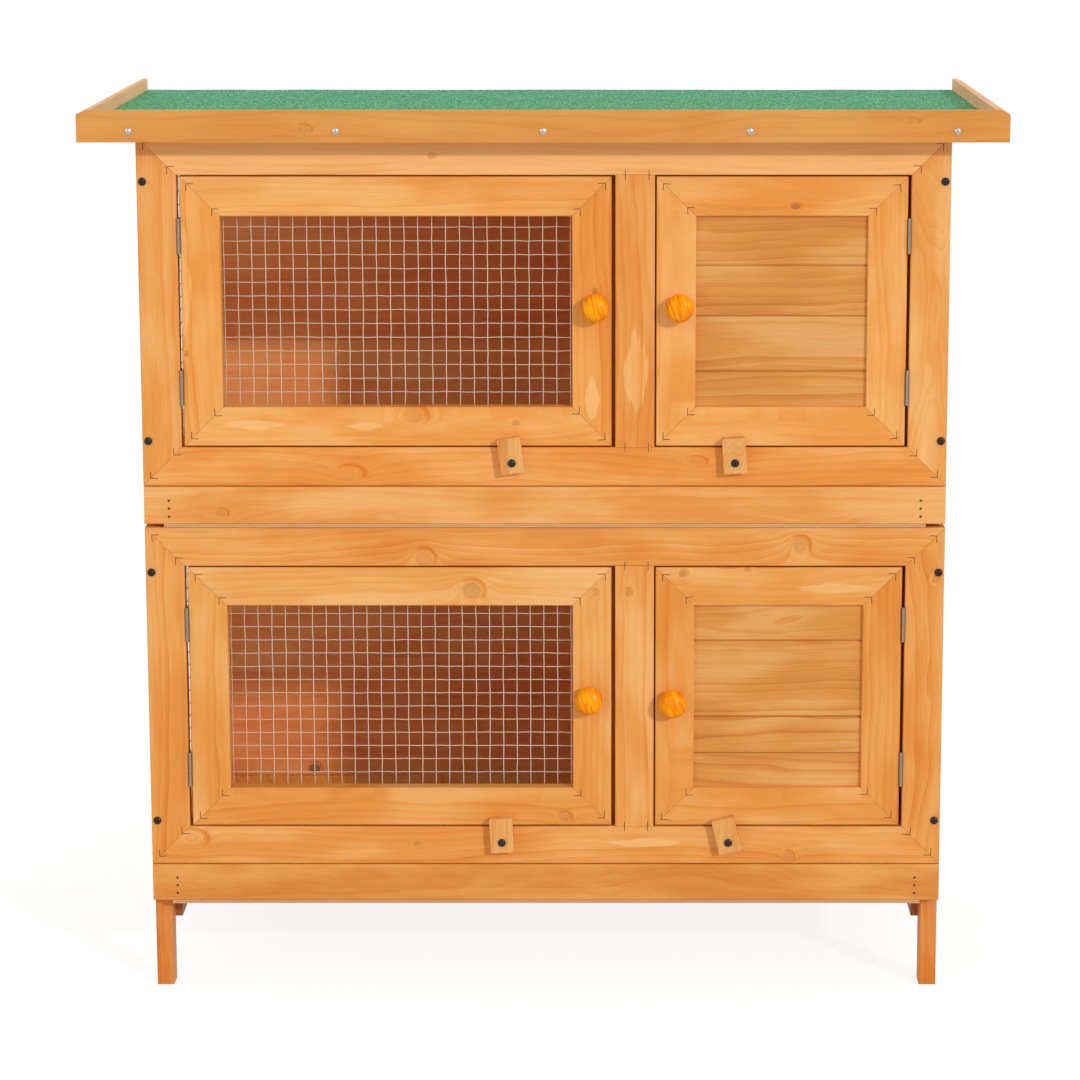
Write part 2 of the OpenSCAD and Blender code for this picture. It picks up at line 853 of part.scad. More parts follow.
module door_stiles(d, grooved) {
    color(pine)
        difference() {
            stile_pair(door_x[d][0], door_z(d), door_w(d), door_h(d));
            if (grooved)
                door_groove(d);
            else
                door_staples(d);
            hinge_screw_bores(d, -1);
            knob_bore(d);
        }
}

module door_boards(d, first, cover) {
    reach = member_w - panel_housing;
    color(pine)
        translate([door_x[d][0] + reach, front_y + panel_set, door_z(d) + reach])
            boards(door_w(d) - 2 * reach, door_h(d) - 2 * reach, first, cover, board_t);
}

module door_hinge_leaves(d) {
    color(steel) at_hinges(d, -1) leaf(odd_knuckles, even_knuckles);
}

module door_screws(d) {
    color(steel) {
        at_hinges(d, -1) leaf_screw_places() hinge_screw();
        facing_back(knob_x(d), knob_z(d))
            pan_screw(knob_head_d, knob_screw_d, stock_t + knob_screw_bite);
    }
}

module knob_bore(d) {
    facing_front(knob_x(d), front_y + stock_t + eps, knob_z(d))
        cylinder(h = stock_t + knob_screw_bite + eps, d = knob_screw_d);
}

// Turned knob: a waisted foot under a domed head
module door_knob(d) {
    head_z = knob_h * knob_foot;
    cove_r = head_z * knob_cove;
    dome_r = knob_d * knob_dome;
    color(knob_gold)
        difference() {
            facing_front(knob_x(d), front_y, knob_z(d))
                rotate_extrude() {
                    difference() {
                        square([waist_r + cove_r, head_z + eps]);
                        translate([waist_r + cove_r, head_z / 2 - eps / 2]) circle(cove_r);
                    }
                    intersection() {
                        translate([0, head_z]) square([knob_d / 2, knob_h - head_z]);
                        translate([0, knob_h / 2]) circle(d = knob_d);
                        translate([0, knob_h - dome_r]) circle(dome_r);
                    }
                }
            knob_bore(d);
        }
}

function opening_w(d) = door_w(d) - 2 * member_w;
function opening_h(d) = door_h(d) - 2 * member_w;

// Puts its children at the lower left corner of a door's opening, on the back of its frame
module at_door_opening(d) {
    translate([door_x[d][0] + member_w, front_y + stock_t, door_z(d) + member_w]) children();
}

module door_mesh(d) {
    at_door_opening(d) mesh_panel(opening_w(d), opening_h(d), door_mesh_lap);
}

module door_staples(d) {
    at_door_opening(d) mesh_staples(opening_w(d), opening_h(d), door_mesh_lap);
}

module upper_mesh_door_rails() {
    door_rails(0, false);
}

module upper_mesh_door_stiles() {
    door_stiles(0, false);
}

module upper_mesh_door_mesh() {
    door_mesh(0);
}

module upper_mesh_door_knob() {
    door_knob(0);
}

module upper_mesh_door_hinge_leaves() {
    door_hinge_leaves(0);
}

module upper_mesh_door_fixings() {
    door_screws(0);
    door_staples(0);
}

module upper_solid_door_rails() {
    door_rails(1, true);
}

module upper_solid_door_stiles() {
    door_stiles(1, true);
}

module upper_solid_door_boards() {
    door_boards(1, upper_panel_first, upper_panel_cover);
}

module upper_solid_door_knob() {
    door_knob(1);
}

module upper_solid_door_hinge_leaves() {
    door_hinge_leaves(1);
}

module upper_solid_door_screws() {
    door_screws(1);
}

module lower_mesh_door_rails() {
    door_rails(2, false);
}

module lower_mesh_door_stiles() {
    door_stiles(2, false);
}

module lower_mesh_door_mesh() {
    door_mesh(2);
}

module lower_mesh_door_knob() {
    door_knob(2);
}

module lower_mesh_door_hinge_leaves() {
    door_hinge_leaves(2);
}

module lower_mesh_door_fixings() {
    door_screws(2);
    door_staples(2);
}

module lower_solid_door_rails() {
    door_rails(3, true);
}

module lower_solid_door_stiles() {
    door_stiles(3, true);
}

module lower_solid_door_boards() {
    door_boards(3, lower_panel_first, lower_panel_cover);
}

module lower_solid_door_knob() {
    door_knob(3);
}

module lower_solid_door_hinge_leaves() {
    door_hinge_leaves(3);
}

module lower_solid_door_screws() {
    door_screws(3);
}

// ---- Turn buttons ----

module button_outline() {
    w = button_w / 2;
    top = button_l - button_tail;
    e = button_ease;
    polygon([[-w + e, -button_tail], [w - e, -button_tail], [w, e - button_tail], [w, top - e],
             [w - e, top], [-w + e, top], [-w, top - e], [-w, e - button_tail]]);
}

module turn_button(d) {
    color(pine_pale)
        facing_front(button_x(d), front_y - button_float, button_z(d))
            rotate(button_lean[d])
                linear_extrude(button_t)
                    difference() {
                        button_outline();
                        circle(d = screw_d + 2 * button_turn_play);
                    }
}

module button_screws() {
    grip = button_t + 2 * button_float;
    color(black_steel)
        for (d = DOORS)
            facing_front(button_x(d), front_y - grip, button_z(d))
                rotate(button_lean[d])
                    pan_screw(screw_head_d, screw_d, grip + button_screw_bite);
}

module upper_mesh_door_button() {
    turn_button(0);
}

module upper_solid_door_button() {
    turn_button(1);
}

module lower_mesh_door_button() {
    turn_button(2);
}

module lower_solid_door_button() {
    turn_button(3);
}

// ---- Trays ----

module tray_front(s) {
    color(pine)
        difference() {
            translate([-side_x, front_y, ply_z[s] + ply_t]) timber(body_w, tray_front_h, stock_t);
            tray_nail_places(s) nail_hole();
        }
}

module tray_walls(s) {
    z = ply_z[s] + ply_t;
    reach = tray_x - tray_wall_t - tray_corner;
    color(pine_shade) {
        difference() {
            both_sides()
                translate([-tray_x, post_front_y, z])
                    cube([tray_wall_t, tray_d - stock_t, tray_wall_h]);
            tray_nail_places(s) nail_hole();
        }
        translate([-reach, front_y + tray_d - tray_wall_t, z])
            cube([2 * reach, tray_wall_t, tray_wall_h]);
    }
}

module tray_bottom(s) {
    color(pine_pale)
        translate([-tray_x, front_y, ply_z[s]]) cube([2 * tray_x, tray_d, ply_t]);
}

module tray_nail_places(s) {
    both_sides()
        for (i = [0 : nails - 1])
            facing_front(-tray_x + tray_wall_t / 2, front_y, ply_z[s] + ply_t + nail_low + i * nail_step)
                children();
}

module nail_hole() {
    translate([0, 0, -nail_sink - nail_l]) cylinder(h = nail_l, d = nail_d);
    translate([0, 0, -nail_sink - nail_head_h])
        cylinder(h = nail_sink + nail_head_h + eps, d = nail_head_d);
}

module tray_nails(s) {
    color(steel)
        tray_nail_places(s) {
            translate([0, 0, -nail_sink - nail_l]) cylinder(h = nail_l, d = nail_d);
            translate([0, 0, -nail_sink - nail_head_h]) cylinder(h = nail_head_h, d = nail_head_d);
        }
}

module upper_tray_front() {
    tray_front(UPPER);
}

module upper_tray_walls() {
    tray_walls(UPPER);
}

module upper_tray_bottom() {
    tray_bottom(UPPER);
}

module upper_tray_nails() {
    tray_nails(UPPER);
}

module lower_tray_front() {
    tray_front(LOWER);
}

module lower_tray_walls() {
    tray_walls(LOWER);
}

module lower_tray_bottom() {
    tray_bottom(LOWER);
}

module lower_tray_nails() {
    tray_nails(LOWER);
}

front_posts();
rear_posts();
left_side_rails();
left_side_mesh();
left_side_staples();
right_side_boards();
back_boards();
upper_frame_rails();
upper_frame_stiles();
lower_frame_rails();
lower_frame_stiles();
frame_screws();
partitions();
door_stop_battens();
tray_runners();
roof_boards();
roof_felt();
roof_fascia();
roof_side_strips();
roof_screws();
frame_hinge_leaves();
hinge_pins();
frame_hinge_screws();
button_screws();
upper_mesh_door_rails();
upper_mesh_door_stiles();
upper_mesh_door_mesh();
upper_mesh_door_knob();
upper_mesh_door_hinge_leaves();
upper_mesh_door_fixings();
upper_solid_door_rails();
upper_solid_door_stiles();
upper_solid_door_boards();
upper_solid_door_knob();
upper_solid_door_hinge_leaves();
upper_solid_door_screws();
lower_mesh_door_rails();
lower_mesh_door_stiles();
lower_mesh_door_mesh();
lower_mesh_door_knob();
lower_mesh_door_hinge_leaves();
lower_mesh_door_fixings();
lower_solid_door_rails();
lower_solid_door_stiles();
lower_solid_door_boards();
lower_solid_door_knob();
lower_solid_door_hinge_leaves();
lower_solid_door_screws();
upper_mesh_door_button();
upper_solid_door_button();
lower_mesh_door_button();
lower_solid_door_button();
upper_tray_front();
upper_tray_walls();
upper_tray_bottom();
upper_tray_nails();
lower_tray_front();
lower_tray_walls();
lower_tray_bottom();
lower_tray_nails();
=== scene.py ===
"""Looks of the rabbit hutch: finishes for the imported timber, mesh and metal, the fine hardware
that repeats, and the studio that it stands in. Lengths are in metres, and patterns in millimetres."""
import json
import logging
import math
import random
from dataclasses import dataclass, field, replace
from enum import Enum

import bmesh
import bpy
from mathutils import Matrix, Vector, noise

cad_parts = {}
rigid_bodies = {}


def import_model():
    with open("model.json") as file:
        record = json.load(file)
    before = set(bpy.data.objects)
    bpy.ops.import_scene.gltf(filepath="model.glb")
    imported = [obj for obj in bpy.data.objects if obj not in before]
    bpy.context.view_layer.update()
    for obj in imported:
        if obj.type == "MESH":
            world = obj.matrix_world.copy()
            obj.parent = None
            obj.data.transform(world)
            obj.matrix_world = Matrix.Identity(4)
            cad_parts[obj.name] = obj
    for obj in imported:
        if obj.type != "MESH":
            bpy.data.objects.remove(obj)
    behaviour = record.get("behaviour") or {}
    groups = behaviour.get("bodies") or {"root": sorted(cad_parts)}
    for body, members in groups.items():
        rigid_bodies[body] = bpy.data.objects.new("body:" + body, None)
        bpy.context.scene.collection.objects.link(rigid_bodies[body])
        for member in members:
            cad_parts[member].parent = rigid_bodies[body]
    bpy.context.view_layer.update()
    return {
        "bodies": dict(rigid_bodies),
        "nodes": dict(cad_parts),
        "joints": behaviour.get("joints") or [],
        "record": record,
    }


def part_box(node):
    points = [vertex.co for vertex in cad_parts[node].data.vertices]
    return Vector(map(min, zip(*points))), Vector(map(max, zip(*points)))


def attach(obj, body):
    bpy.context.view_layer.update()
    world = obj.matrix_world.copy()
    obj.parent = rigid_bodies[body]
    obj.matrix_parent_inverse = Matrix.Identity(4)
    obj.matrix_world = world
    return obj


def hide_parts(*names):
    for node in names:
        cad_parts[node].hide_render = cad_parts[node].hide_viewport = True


LOG = logging.getLogger("hutch")
FRAME: dict = {}
MM = 0.001
# Millimetres, wider than any piece: such boards meet only where they start
WIDE = 1000.0
Pair = tuple[float, float]
Colour = tuple[float, float, float, float]
Socket = bpy.types.NodeSocket
Material = bpy.types.Material


def srgb(*levels: int) -> Colour:
    """Turns red, green and blue on a screen, from 0 to 255, into the linear colour of shaders."""
    parts = [level / 255 for level in levels]
    return (*(p / 12.92 if p <= 0.04045 else ((p + 0.055) / 1.055) ** 2.4 for p in parts), 1.0)


def corners(node: str) -> tuple[Vector, Vector]:
    """Gives the lowest and the highest corner of a CAD node in millimetres."""
    low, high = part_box(node)
    return low / MM, high / MM


def edges(node: str) -> tuple[float, float, float, float]:
    """Gives the left, lower, right and upper edge of a CAD node in millimetres."""
    low, high = corners(node)
    return low.x, low.z, high.x, high.z


def put(name: str, data: bpy.types.ID) -> bpy.types.Object:
    """Adds an object to the scene.

    Args:
        name: Its name.
        data: Its mesh, lamp or camera.

    Returns:
        The object.
    """
    made = bpy.data.objects.new(name, data)
    bpy.context.scene.collection.objects.link(made)
    return made


class Graph:
    """Short calls for the nodes of one material, world or node group."""

    def __init__(self, tree: bpy.types.NodeTree) -> None:
        """Empties the tree and keeps it."""
        self.tree = tree
        tree.nodes.clear()

    def node(self, kind: str, inputs: dict | None = None, **settings: object) -> bpy.types.Node:
        """Adds a node.

        Args:
            kind: The node's type name.
            inputs: Values or sockets for its inputs, by name or number.
            **settings: Values for its properties.

        Returns:
            The new node.
        """
        made = self.tree.nodes.new(kind)
        for name, value in settings.items():
            setattr(made, name, value)
        for key, value in (inputs or {}).items():
            self.feed(made.inputs[key], value)
        return made

    def out(self, kind: str, inputs: dict | None = None, **settings: object) -> Socket:
        """Adds a node and gives its first output."""
        return self.node(kind, inputs, **settings).outputs[0]

    def feed(self, socket: Socket, value: object) -> None:
        """Links a socket into another one, or writes a plain value there.

        Args:
            socket: The input to fill.
            value: An output socket or a value.
        """
        if isinstance(value, Socket):
            self.tree.links.new(value, socket)
        else:
            socket.default_value = value

    def math(self, operation: str, *values: object) -> Socket:
        """Works out one sum from numbers or sockets."""
        return self.out("ShaderNodeMath", dict(enumerate(values)), operation=operation)

    def add(self, first: object, second: object) -> Socket:
        """Adds two values."""
        return self.math("ADD", first, second)

    def sub(self, first: object, second: object) -> Socket:
        """Takes the second value from the first."""
        return self.math("SUBTRACT", first, second)

    def mul(self, first: object, second: object) -> Socket:
        """Multiplies two values."""
        return self.math("MULTIPLY", first, second)

    def fma(self, value: object, factor: object, offset: object) -> Socket:
        """Multiplies a value by a factor and adds an offset."""
        return self.math("MULTIPLY_ADD", value, factor, offset)

    def join(self, x: object, y: object, z: object) -> Socket:
        """Makes a vector of three numbers or sockets."""
        return self.out("ShaderNodeCombineXYZ", {0: x, 1: y, 2: z})

    def noise(self, place: object, scale: float = 1.0, detail: float = 2.0,
              roughness: float = 0.5) -> Socket:
        """Reads a noise about 0.5 at a place, with its octaves and how strong the fine ones are."""
        inputs = {"Vector": place, "Scale": scale, "Detail": detail, "Roughness": roughness}
        return self.out("ShaderNodeTexNoise", inputs)

    def span(self, value: object, low: float, high: float, top: float = 1.0) -> Socket:
        """Maps the range from low to high smoothly on the one from 0 to top, and holds it at the ends."""
        inputs = {0: value, 1: low, 2: high, 3: 0.0, 4: top}
        return self.out("ShaderNodeMapRange", inputs, interpolation_type="SMOOTHSTEP")

    def blend(self, factor: object, first: object, second: object) -> Socket:
        """Mixes two colours by a factor."""
        inputs = {0: factor, 6: first, 7: second}
        return self.node("ShaderNodeMix", inputs, data_type="RGBA").outputs[2]

    def scale(self, colour: object, factor: object) -> Socket:
        """Makes a colour or a vector larger or smaller by a factor."""
        start = colour[:3] if isinstance(colour, tuple) else colour
        return self.out("ShaderNodeVectorMath", {0: start, 3: factor}, operation="SCALE")

    def shades(self, value: object, stops: list[tuple[float, Colour]]) -> Socket:
        """Maps a value from 0 to 1 along straight lines between colours.

        Args:
            value: What is mapped.
            stops: Pairs of place and colour.

        Returns:
            The colour.
        """
        made = self.node("ShaderNodeValToRGB", {0: value})
        points = made.color_ramp.elements
        for index, (place, colour) in enumerate(stops):
            point = points[index] if index < 2 else points.new(place)
            point.position = place
            point.color = colour
        return made.outputs[0]


class Look(Graph):
    """One material under work: its nodes, its Principled shader and the place in millimetres."""

    def __init__(self, name: str) -> None:
        """Makes the material with a bare shader.

        Args:
            name: The material's name.
        """
        self.material = bpy.data.materials.new(name)
        self.material.use_nodes = True
        super().__init__(self.material.node_tree)
        self.shader = self.node("ShaderNodeBsdfPrincipled")
        self.node("ShaderNodeOutputMaterial", {0: self.shader.outputs[0]})
        place = self.node("ShaderNodeTexCoord").outputs["Object"]
        self.place = tuple(self.node("ShaderNodeSeparateXYZ", {0: self.scale(place, 1 / MM)}).outputs)

    def set(self, **values: object) -> None:
        """Feeds the shader's inputs, with spaces in their names written as underscores."""
        for name, value in values.items():
            self.feed(self.shader.inputs[name.replace("_", " ")], value)

    def bump(self, height: object, depth: float) -> None:
        """Gives the shader a relief from 0 to 1, with its depth in millimetres."""
        inputs = {"Strength": 1.0, "Distance": depth * MM, "Height": height}
        self.set(Normal=self.out("ShaderNodeBump", inputs))


class Grain(Enum):
    """Axes along the fibres, across the face and into the wood."""

    ALONG_X = (0, 2, 1)
    ALONG_Y = (1, 2, 0)
    ALONG_Z = (2, 0, 1)
    FLAT_X = (0, 1, 2)
    FLAT_Y = (1, 0, 2)


@dataclass(frozen=True)
class Stain:
    """Colours of a stained pine, and how far its rings, blotches and boards differ."""

    SHADES = ("pale", "middle", "deep")

    pale: Colour
    middle: Colour
    deep: Colour
    rings: float
    blotches: float = 0.36
    boards: float = 0.25
    roughness: float = 0.5

    def dimmed(self, share: float) -> "Stain":
        """Gives the same stain with only this share of the light coming back."""
        dim = {key: (*(share * part for part in getattr(self, key)[:3]), 1.0) for key in self.SHADES}
        return replace(self, **dim)

    def colour(self, graph: Graph, level: Socket) -> Socket:
        """Gives the stain's colour where it is this deep, from 0 to 1."""
        return graph.shades(level, [(0.0, self.pale), (1.0, self.deep), (0.5, self.middle)])


@dataclass(frozen=True)
class Knot:
    """A knot or a bare patch, with its place along and across the fibres in millimetres."""

    along: float
    across: float
    radius: float = 5.0
    stretch: float = 1.3
    dark: float = 0.5

    def shares(self, look: Look, along: Socket, across: Socket) -> tuple[Socket, Socket]:
        """Measures how far a place is from the heart, in shares of the knot's length and width."""
        far = look.math("DIVIDE", look.sub(along, self.along), self.radius * self.stretch)
        return far, look.math("DIVIDE", look.sub(across, self.across), self.radius)


class PineGrain(Graph):
    """Node group with the growth rings, fibres and stain of boards cut from a log."""

    INPUTS = ("Along", "Across", "Depth", "Start", "Cover", "Ring", "Seed", "Swell")
    OUTPUTS = ("Rings", "Fibre", "Blotch", "Tone", "Board")
    # Waves in a millimetre along the fibres, across them and into the wood
    FIBRES = (0.012, 0.4, 0.4)
    BLOTCHES = (0.008, 0.028, 0.01)
    WOBBLES = (0.012, 0.05, 0.05)
    # How the log's heart wanders sideways and backwards: waves in a millimetre, millimetres and layer
    SWAY = (0.0028, 40.0, 0.0)
    LEAN = (0.003, 56.0, 7.0)
    WOBBLE = 10.0
    # Millimetres: how far aside boards are cut, how wide they count at most, how far apart they grew
    ASIDE = 90.0
    REACH = 400.0
    APART = 5000.0
    SEED_STEP = 7.31
    # How far the fibres fray a blotch, and the noise at which its edge starts and ends
    FRAY = 0.3
    EDGE = (0.34, 0.66)
    # Kinds of ring with their number to a turn and their share, and how the colour rises over a ring
    KINDS = ((1.0, 0.65), (3.7, 0.35))
    RISE = [(place, (level, level, level, 1.0))
            for place, level in ((0.0, 0.0), (1.0, 0.0), (0.4, 0.25), (0.92, 1.0))]
    tree: bpy.types.NodeTree | None = None

    @classmethod
    def group(cls) -> bpy.types.NodeTree:
        """Gives the group, and builds it at the first call."""
        if cls.tree is None:
            cls.tree = bpy.data.node_groups.new("pine_grain", "ShaderNodeTree")
            for way, names in (("INPUT", cls.INPUTS), ("OUTPUT", cls.OUTPUTS)):
                for name in names:
                    cls.tree.interface.new_socket(name, in_out=way, socket_type="NodeSocketFloat")
            cls(cls.tree).fill()
        return cls.tree

    def fill(self) -> None:
        """Adds the nodes."""
        given = self.node("NodeGroupInput").outputs
        across, depth = given["Across"], given["Depth"]
        board = self.math("FLOOR", self.math("DIVIDE", self.sub(across, given["Start"]), given["Cover"]))
        seed = self.fma(board, self.SEED_STEP, given["Seed"])
        dice = self.node("ShaderNodeTexWhiteNoise", {"W": seed}, noise_dimensions="1D").outputs["Color"]
        rolls = self.node("ShaderNodeSeparateColor", {0: dice}).outputs
        middle = self.fma(self.add(board, 0.5), given["Cover"], given["Start"])
        local = self.math("MINIMUM", self.sub(across, middle), self.REACH)
        along = self.fma(rolls[0], self.APART, given["Along"])
        radius = self.add(self.radius(along, local, depth, seed, rolls[1]), given["Swell"])
        turns = self.math("DIVIDE", radius, given["Ring"])
        fine = self.waves(self.FIBRES, along, across, depth, 0.0)
        fibre = self.noise(fine, detail=4.0, roughness=0.6)
        broad = self.waves(self.BLOTCHES, along, across, depth, seed)
        soaked = self.fma(self.sub(fibre, 0.5), self.FRAY, self.noise(broad, detail=3.0))
        blotch = self.span(soaked, *self.EDGE)
        results = (self.rings(turns, seed), fibre, blotch, rolls[2], board)
        self.node("NodeGroupOutput", dict(enumerate(results)))

    def waves(self, rates: tuple[float, float, float], along: Socket, across: Socket,
              depth: Socket, seed: object) -> Socket:
        """Scales a place in the wood for a noise by its waves in a millimetre, and adds a seed."""
        return self.join(self.mul(along, rates[0]), self.mul(across, rates[1]),
                         self.fma(depth, rates[2], seed))

    def radius(self, along: Socket, local: Socket, depth: Socket, seed: Socket, roll: Socket) -> Socket:
        """Gives the distance from the heart of a leaning, wandering log.

        Args:
            along: Place along the log.
            local: Place across the board.
            depth: Place under the board's face.
            seed: Picks the log.
            roll: Moves the board sideways in the log, from 0 to 1.

        Returns:
            The distance in millimetres.
        """
        sway, lean = (self.noise(self.join(self.mul(along, rate), seed, layer), detail=1.0)
                      for rate, _, layer in (self.SWAY, self.LEAN))
        side = self.add(self.fma(sway, self.SWAY[1], -self.SWAY[1] / 2),
                        self.fma(roll, self.ASIDE, -self.ASIDE / 2))
        side = self.add(side, local)
        back = self.fma(lean, self.LEAN[1], depth)
        square = self.fma(side, side, self.mul(back, back))
        slow = self.waves(self.WOBBLES, along, local, depth, seed)
        wobble = self.mul(self.noise(slow, detail=1.0), self.WOBBLE)
        return self.add(self.math("SQRT", square), wobble)

    def rings(self, turns: Socket, seed: Socket) -> Socket:
        """Draws the growth rings: each deepens to a crisp edge, and no two are as strong.

        Args:
            turns: Number of rings from the heart.
            seed: Picks their strengths.

        Returns:
            How deep the colour is, from 0 to 1.
        """
        levels = []
        for rate, share in self.KINDS:
            count = self.mul(turns, rate)
            number = self.add(self.math("FLOOR", count), seed)
            roll = self.out("ShaderNodeTexWhiteNoise", {"W": number}, noise_dimensions="1D")
            rise = self.shades(self.math("FRACT", count), self.RISE)
            levels.append(self.mul(self.mul(rise, roll), share))
        return self.add(levels[0], levels[1])


@dataclass
class Pine:
    """Stained pine on one CAD node. Without a start, one board lies centred on it; a pair meets there."""

    HEARTWOOD = srgb(150, 100, 58)
    JOINT = srgb(120, 62, 26)
    # Rings round a knot: how high they climb in radii, how flat they top out, and the knot's own edge
    HILL = 3.4
    TOP = 0.8
    KNOT_EDGE = (1.0, 0.55)
    # Resin at a knot's side: where it lies, how it fades, from which side it starts, how deep it is
    RIM = 1.5
    RIM_EDGE = (0.9, 0.1)
    RIM_SIDE = (-0.4, 1.4)
    RESIN = 0.5
    # Bare patches: the mean of what frays them, how far it does, their edge and how pale they are
    RAGGED = 0.8
    FRAY = 0.7
    PATCH_EDGE = (1.0, 0.85)
    BARE = -0.35
    # Millimetres from a joint at which its line starts and is full, and how dark mitres are
    MITRE_EDGE = (1.0, 0.25)
    MITRE = 0.25
    SEAM_EDGE = (0.9, 0.3)
    # How far fibres shift the brightness and the roughness, and the relief in millimetres
    FIBRE = 0.24
    ROUGH = 0.2
    RELIEF = 0.1
    # The mean of the rings and their share in the relief, and how much blotches fray a patch
    RING = 0.3
    SOAKED = 0.6

    node: str
    stain: Stain
    grain: Grain
    start: float | None = None
    cover: float = 600.0
    pair: bool = False
    ring: float = 7.0
    seed: float = 0.0
    knots: tuple[Knot, ...] = ()
    mitre: tuple[float, float, float, float] | None = None
    # Shifts of the stain's level, board by board: the boards' own tones, and on the back wall also painted
    # light.
    tones_and_painted_light: tuple[float, ...] = ()
    joints: float = 0.0
    bare: tuple[Knot, ...] = ()
    outside: Stain | None = None

    def patches(self, look: Look, spot: tuple[Socket, Socket], ragged: Socket) -> object:
        """Finds the patches that the stain has hardly coloured.

        Args:
            look: The material.
            spot: Place along and across the fibres.
            ragged: Uneven values that fray the patches' edges.

        Returns:
            1 in a patch and 0 outside.
        """
        found = 0.0
        for patch in self.bare:
            far, off = patch.shares(look, *spot)
            reach = look.fma(off, off, look.math("ABSOLUTE", far))
            reach = look.fma(look.sub(ragged, self.RAGGED), self.FRAY, reach)
            found = look.math("MAXIMUM", look.span(reach, *self.PATCH_EDGE), found)
        return found

    def swell(self, look: Look, spot: tuple[Socket, Socket]) -> tuple[object, object, object]:
        """Bends the rings round the knots.

        Args:
            look: The material.
            spot: Place along and across the fibres.

        Returns:
            What is added to the rings' radius, how deep in a knot the place is, and how far it is in
            the resin at a knot's side.
        """
        total = heart = resin = 0.0
        for knot in self.knots:
            far, off = knot.shares(look, *spot)
            square = look.fma(off, off, look.mul(far, far))
            hill = look.math("DIVIDE", self.HILL * knot.radius, look.add(square, self.TOP))
            total = look.add(hill, total)
            heart = look.math("MAXIMUM", look.span(square, *self.KNOT_EDGE, knot.dark), heart)
            rim = look.span(look.math("ABSOLUTE", look.sub(square, self.RIM)), *self.RIM_EDGE)
            lit = look.span(look.add(far, off), *self.RIM_SIDE)
            resin = look.math("MAXIMUM", look.mul(rim, lit), resin)
        return total, heart, resin

    def mitre_line(self, look: Look) -> Socket:
        """Gives 1 on the dark lines along a frame's mitres, and 0 off them."""
        side, foot = (look.math("MINIMUM", look.sub(look.place[2 * i], self.mitre[i]),
                                look.sub(self.mitre[i + 2], look.place[2 * i])) for i in (0, 1))
        return look.span(look.math("ABSOLUTE", look.sub(side, foot)), *self.MITRE_EDGE)

    def material(self) -> Material:
        """Makes the material."""
        look = Look(f"pine {self.node}")
        along, across, depth = (look.place[axis] for axis in self.grain.value)
        total, heart, resin = self.swell(look, (along, across))
        low, high = corners(self.node)
        inward = look.sub(depth, low[self.grain.value[2]])
        middle = (low[self.grain.value[1]] + high[self.grain.value[1]]) / 2
        cover = WIDE if self.pair else self.cover
        start = middle - (cover if self.pair else cover / 2) if self.start is None else self.start
        inputs = {"Along": along, "Across": across, "Depth": inward, "Start": start, "Cover": cover,
                  "Ring": self.ring, "Seed": self.seed, "Swell": total}
        wood = look.node("ShaderNodeGroup", inputs, node_tree=PineGrain.group())
        rings, fibre, blotch, tone, board = wood.outputs
        stain = self.stain
        level = look.fma(rings, stain.rings, 0.5 - self.RING * stain.rings)
        level = look.fma(look.sub(blotch, 0.5), stain.blotches, level)
        level = look.fma(look.sub(tone, 0.5), stain.boards, level)
        level = look.fma(resin, self.RESIN, level)
        ragged = look.add(fibre, look.mul(blotch, self.SOAKED))
        level = look.fma(self.patches(look, (along, across), ragged), self.BARE, level)
        # Shifts each board's level: its own tone, and on the back wall a paler board as painted light.
        for index, level_shift in enumerate(self.tones_and_painted_light):
            level = look.fma(look.math("COMPARE", board, index, 0.5), level_shift, level)
        colour = stain.colour(look, level)
        if self.outside:
            out = look.math("GREATER_THAN", inward, (high - low)[self.grain.value[2]] / 2)
            colour = look.blend(out, colour, self.outside.colour(look, level))
        colour = look.scale(colour, look.fma(fibre, self.FIBRE, 1 - self.FIBRE / 2))
        colour = look.blend(heart, colour, self.HEARTWOOD)
        if self.joints:
            edge = look.math("PINGPONG", look.sub(across, start), cover / 2)
            colour = look.blend(look.span(edge, *self.SEAM_EDGE, self.joints), colour, self.JOINT)
        if self.mitre:
            seam = look.mul(self.mitre_line(look), self.MITRE)
            colour = look.blend(seam, colour, self.JOINT)
        rough = look.fma(fibre, self.ROUGH, stain.roughness - self.ROUGH / 2)
        look.set(Base_Color=colour, Roughness=rough, Specular_IOR_Level=0.16)
        look.bump(look.fma(rings, self.RING, look.mul(fibre, 1 - self.RING)), self.RELIEF)
        return look.material

    def apply(self) -> None:
        """Puts the material on the node."""
        paint(self.node, self.material())


@dataclass(frozen=True)
class Metal:
    """Plated or blackened steel with fine mottling."""

    name: str
    colour: Colour
    metallic: float
    roughness: float
    mottle: float = 0.12
    scale: float = 0.35
    patchy: float = 0.3
    relief: float = 0.03

    def material(self) -> Material:
        """Makes the material."""
        look = Look(self.name)
        spot = look.noise(look.join(*look.place), self.scale, detail=4.0, roughness=0.6)
        level = look.fma(spot, 2 * self.mottle, 1 - self.mottle)
        look.set(Base_Color=look.scale(self.colour, level), Metallic=self.metallic,
                 Roughness=look.fma(spot, self.patchy, self.roughness - self.patchy / 2))
        look.bump(spot, self.relief)
        return look.material


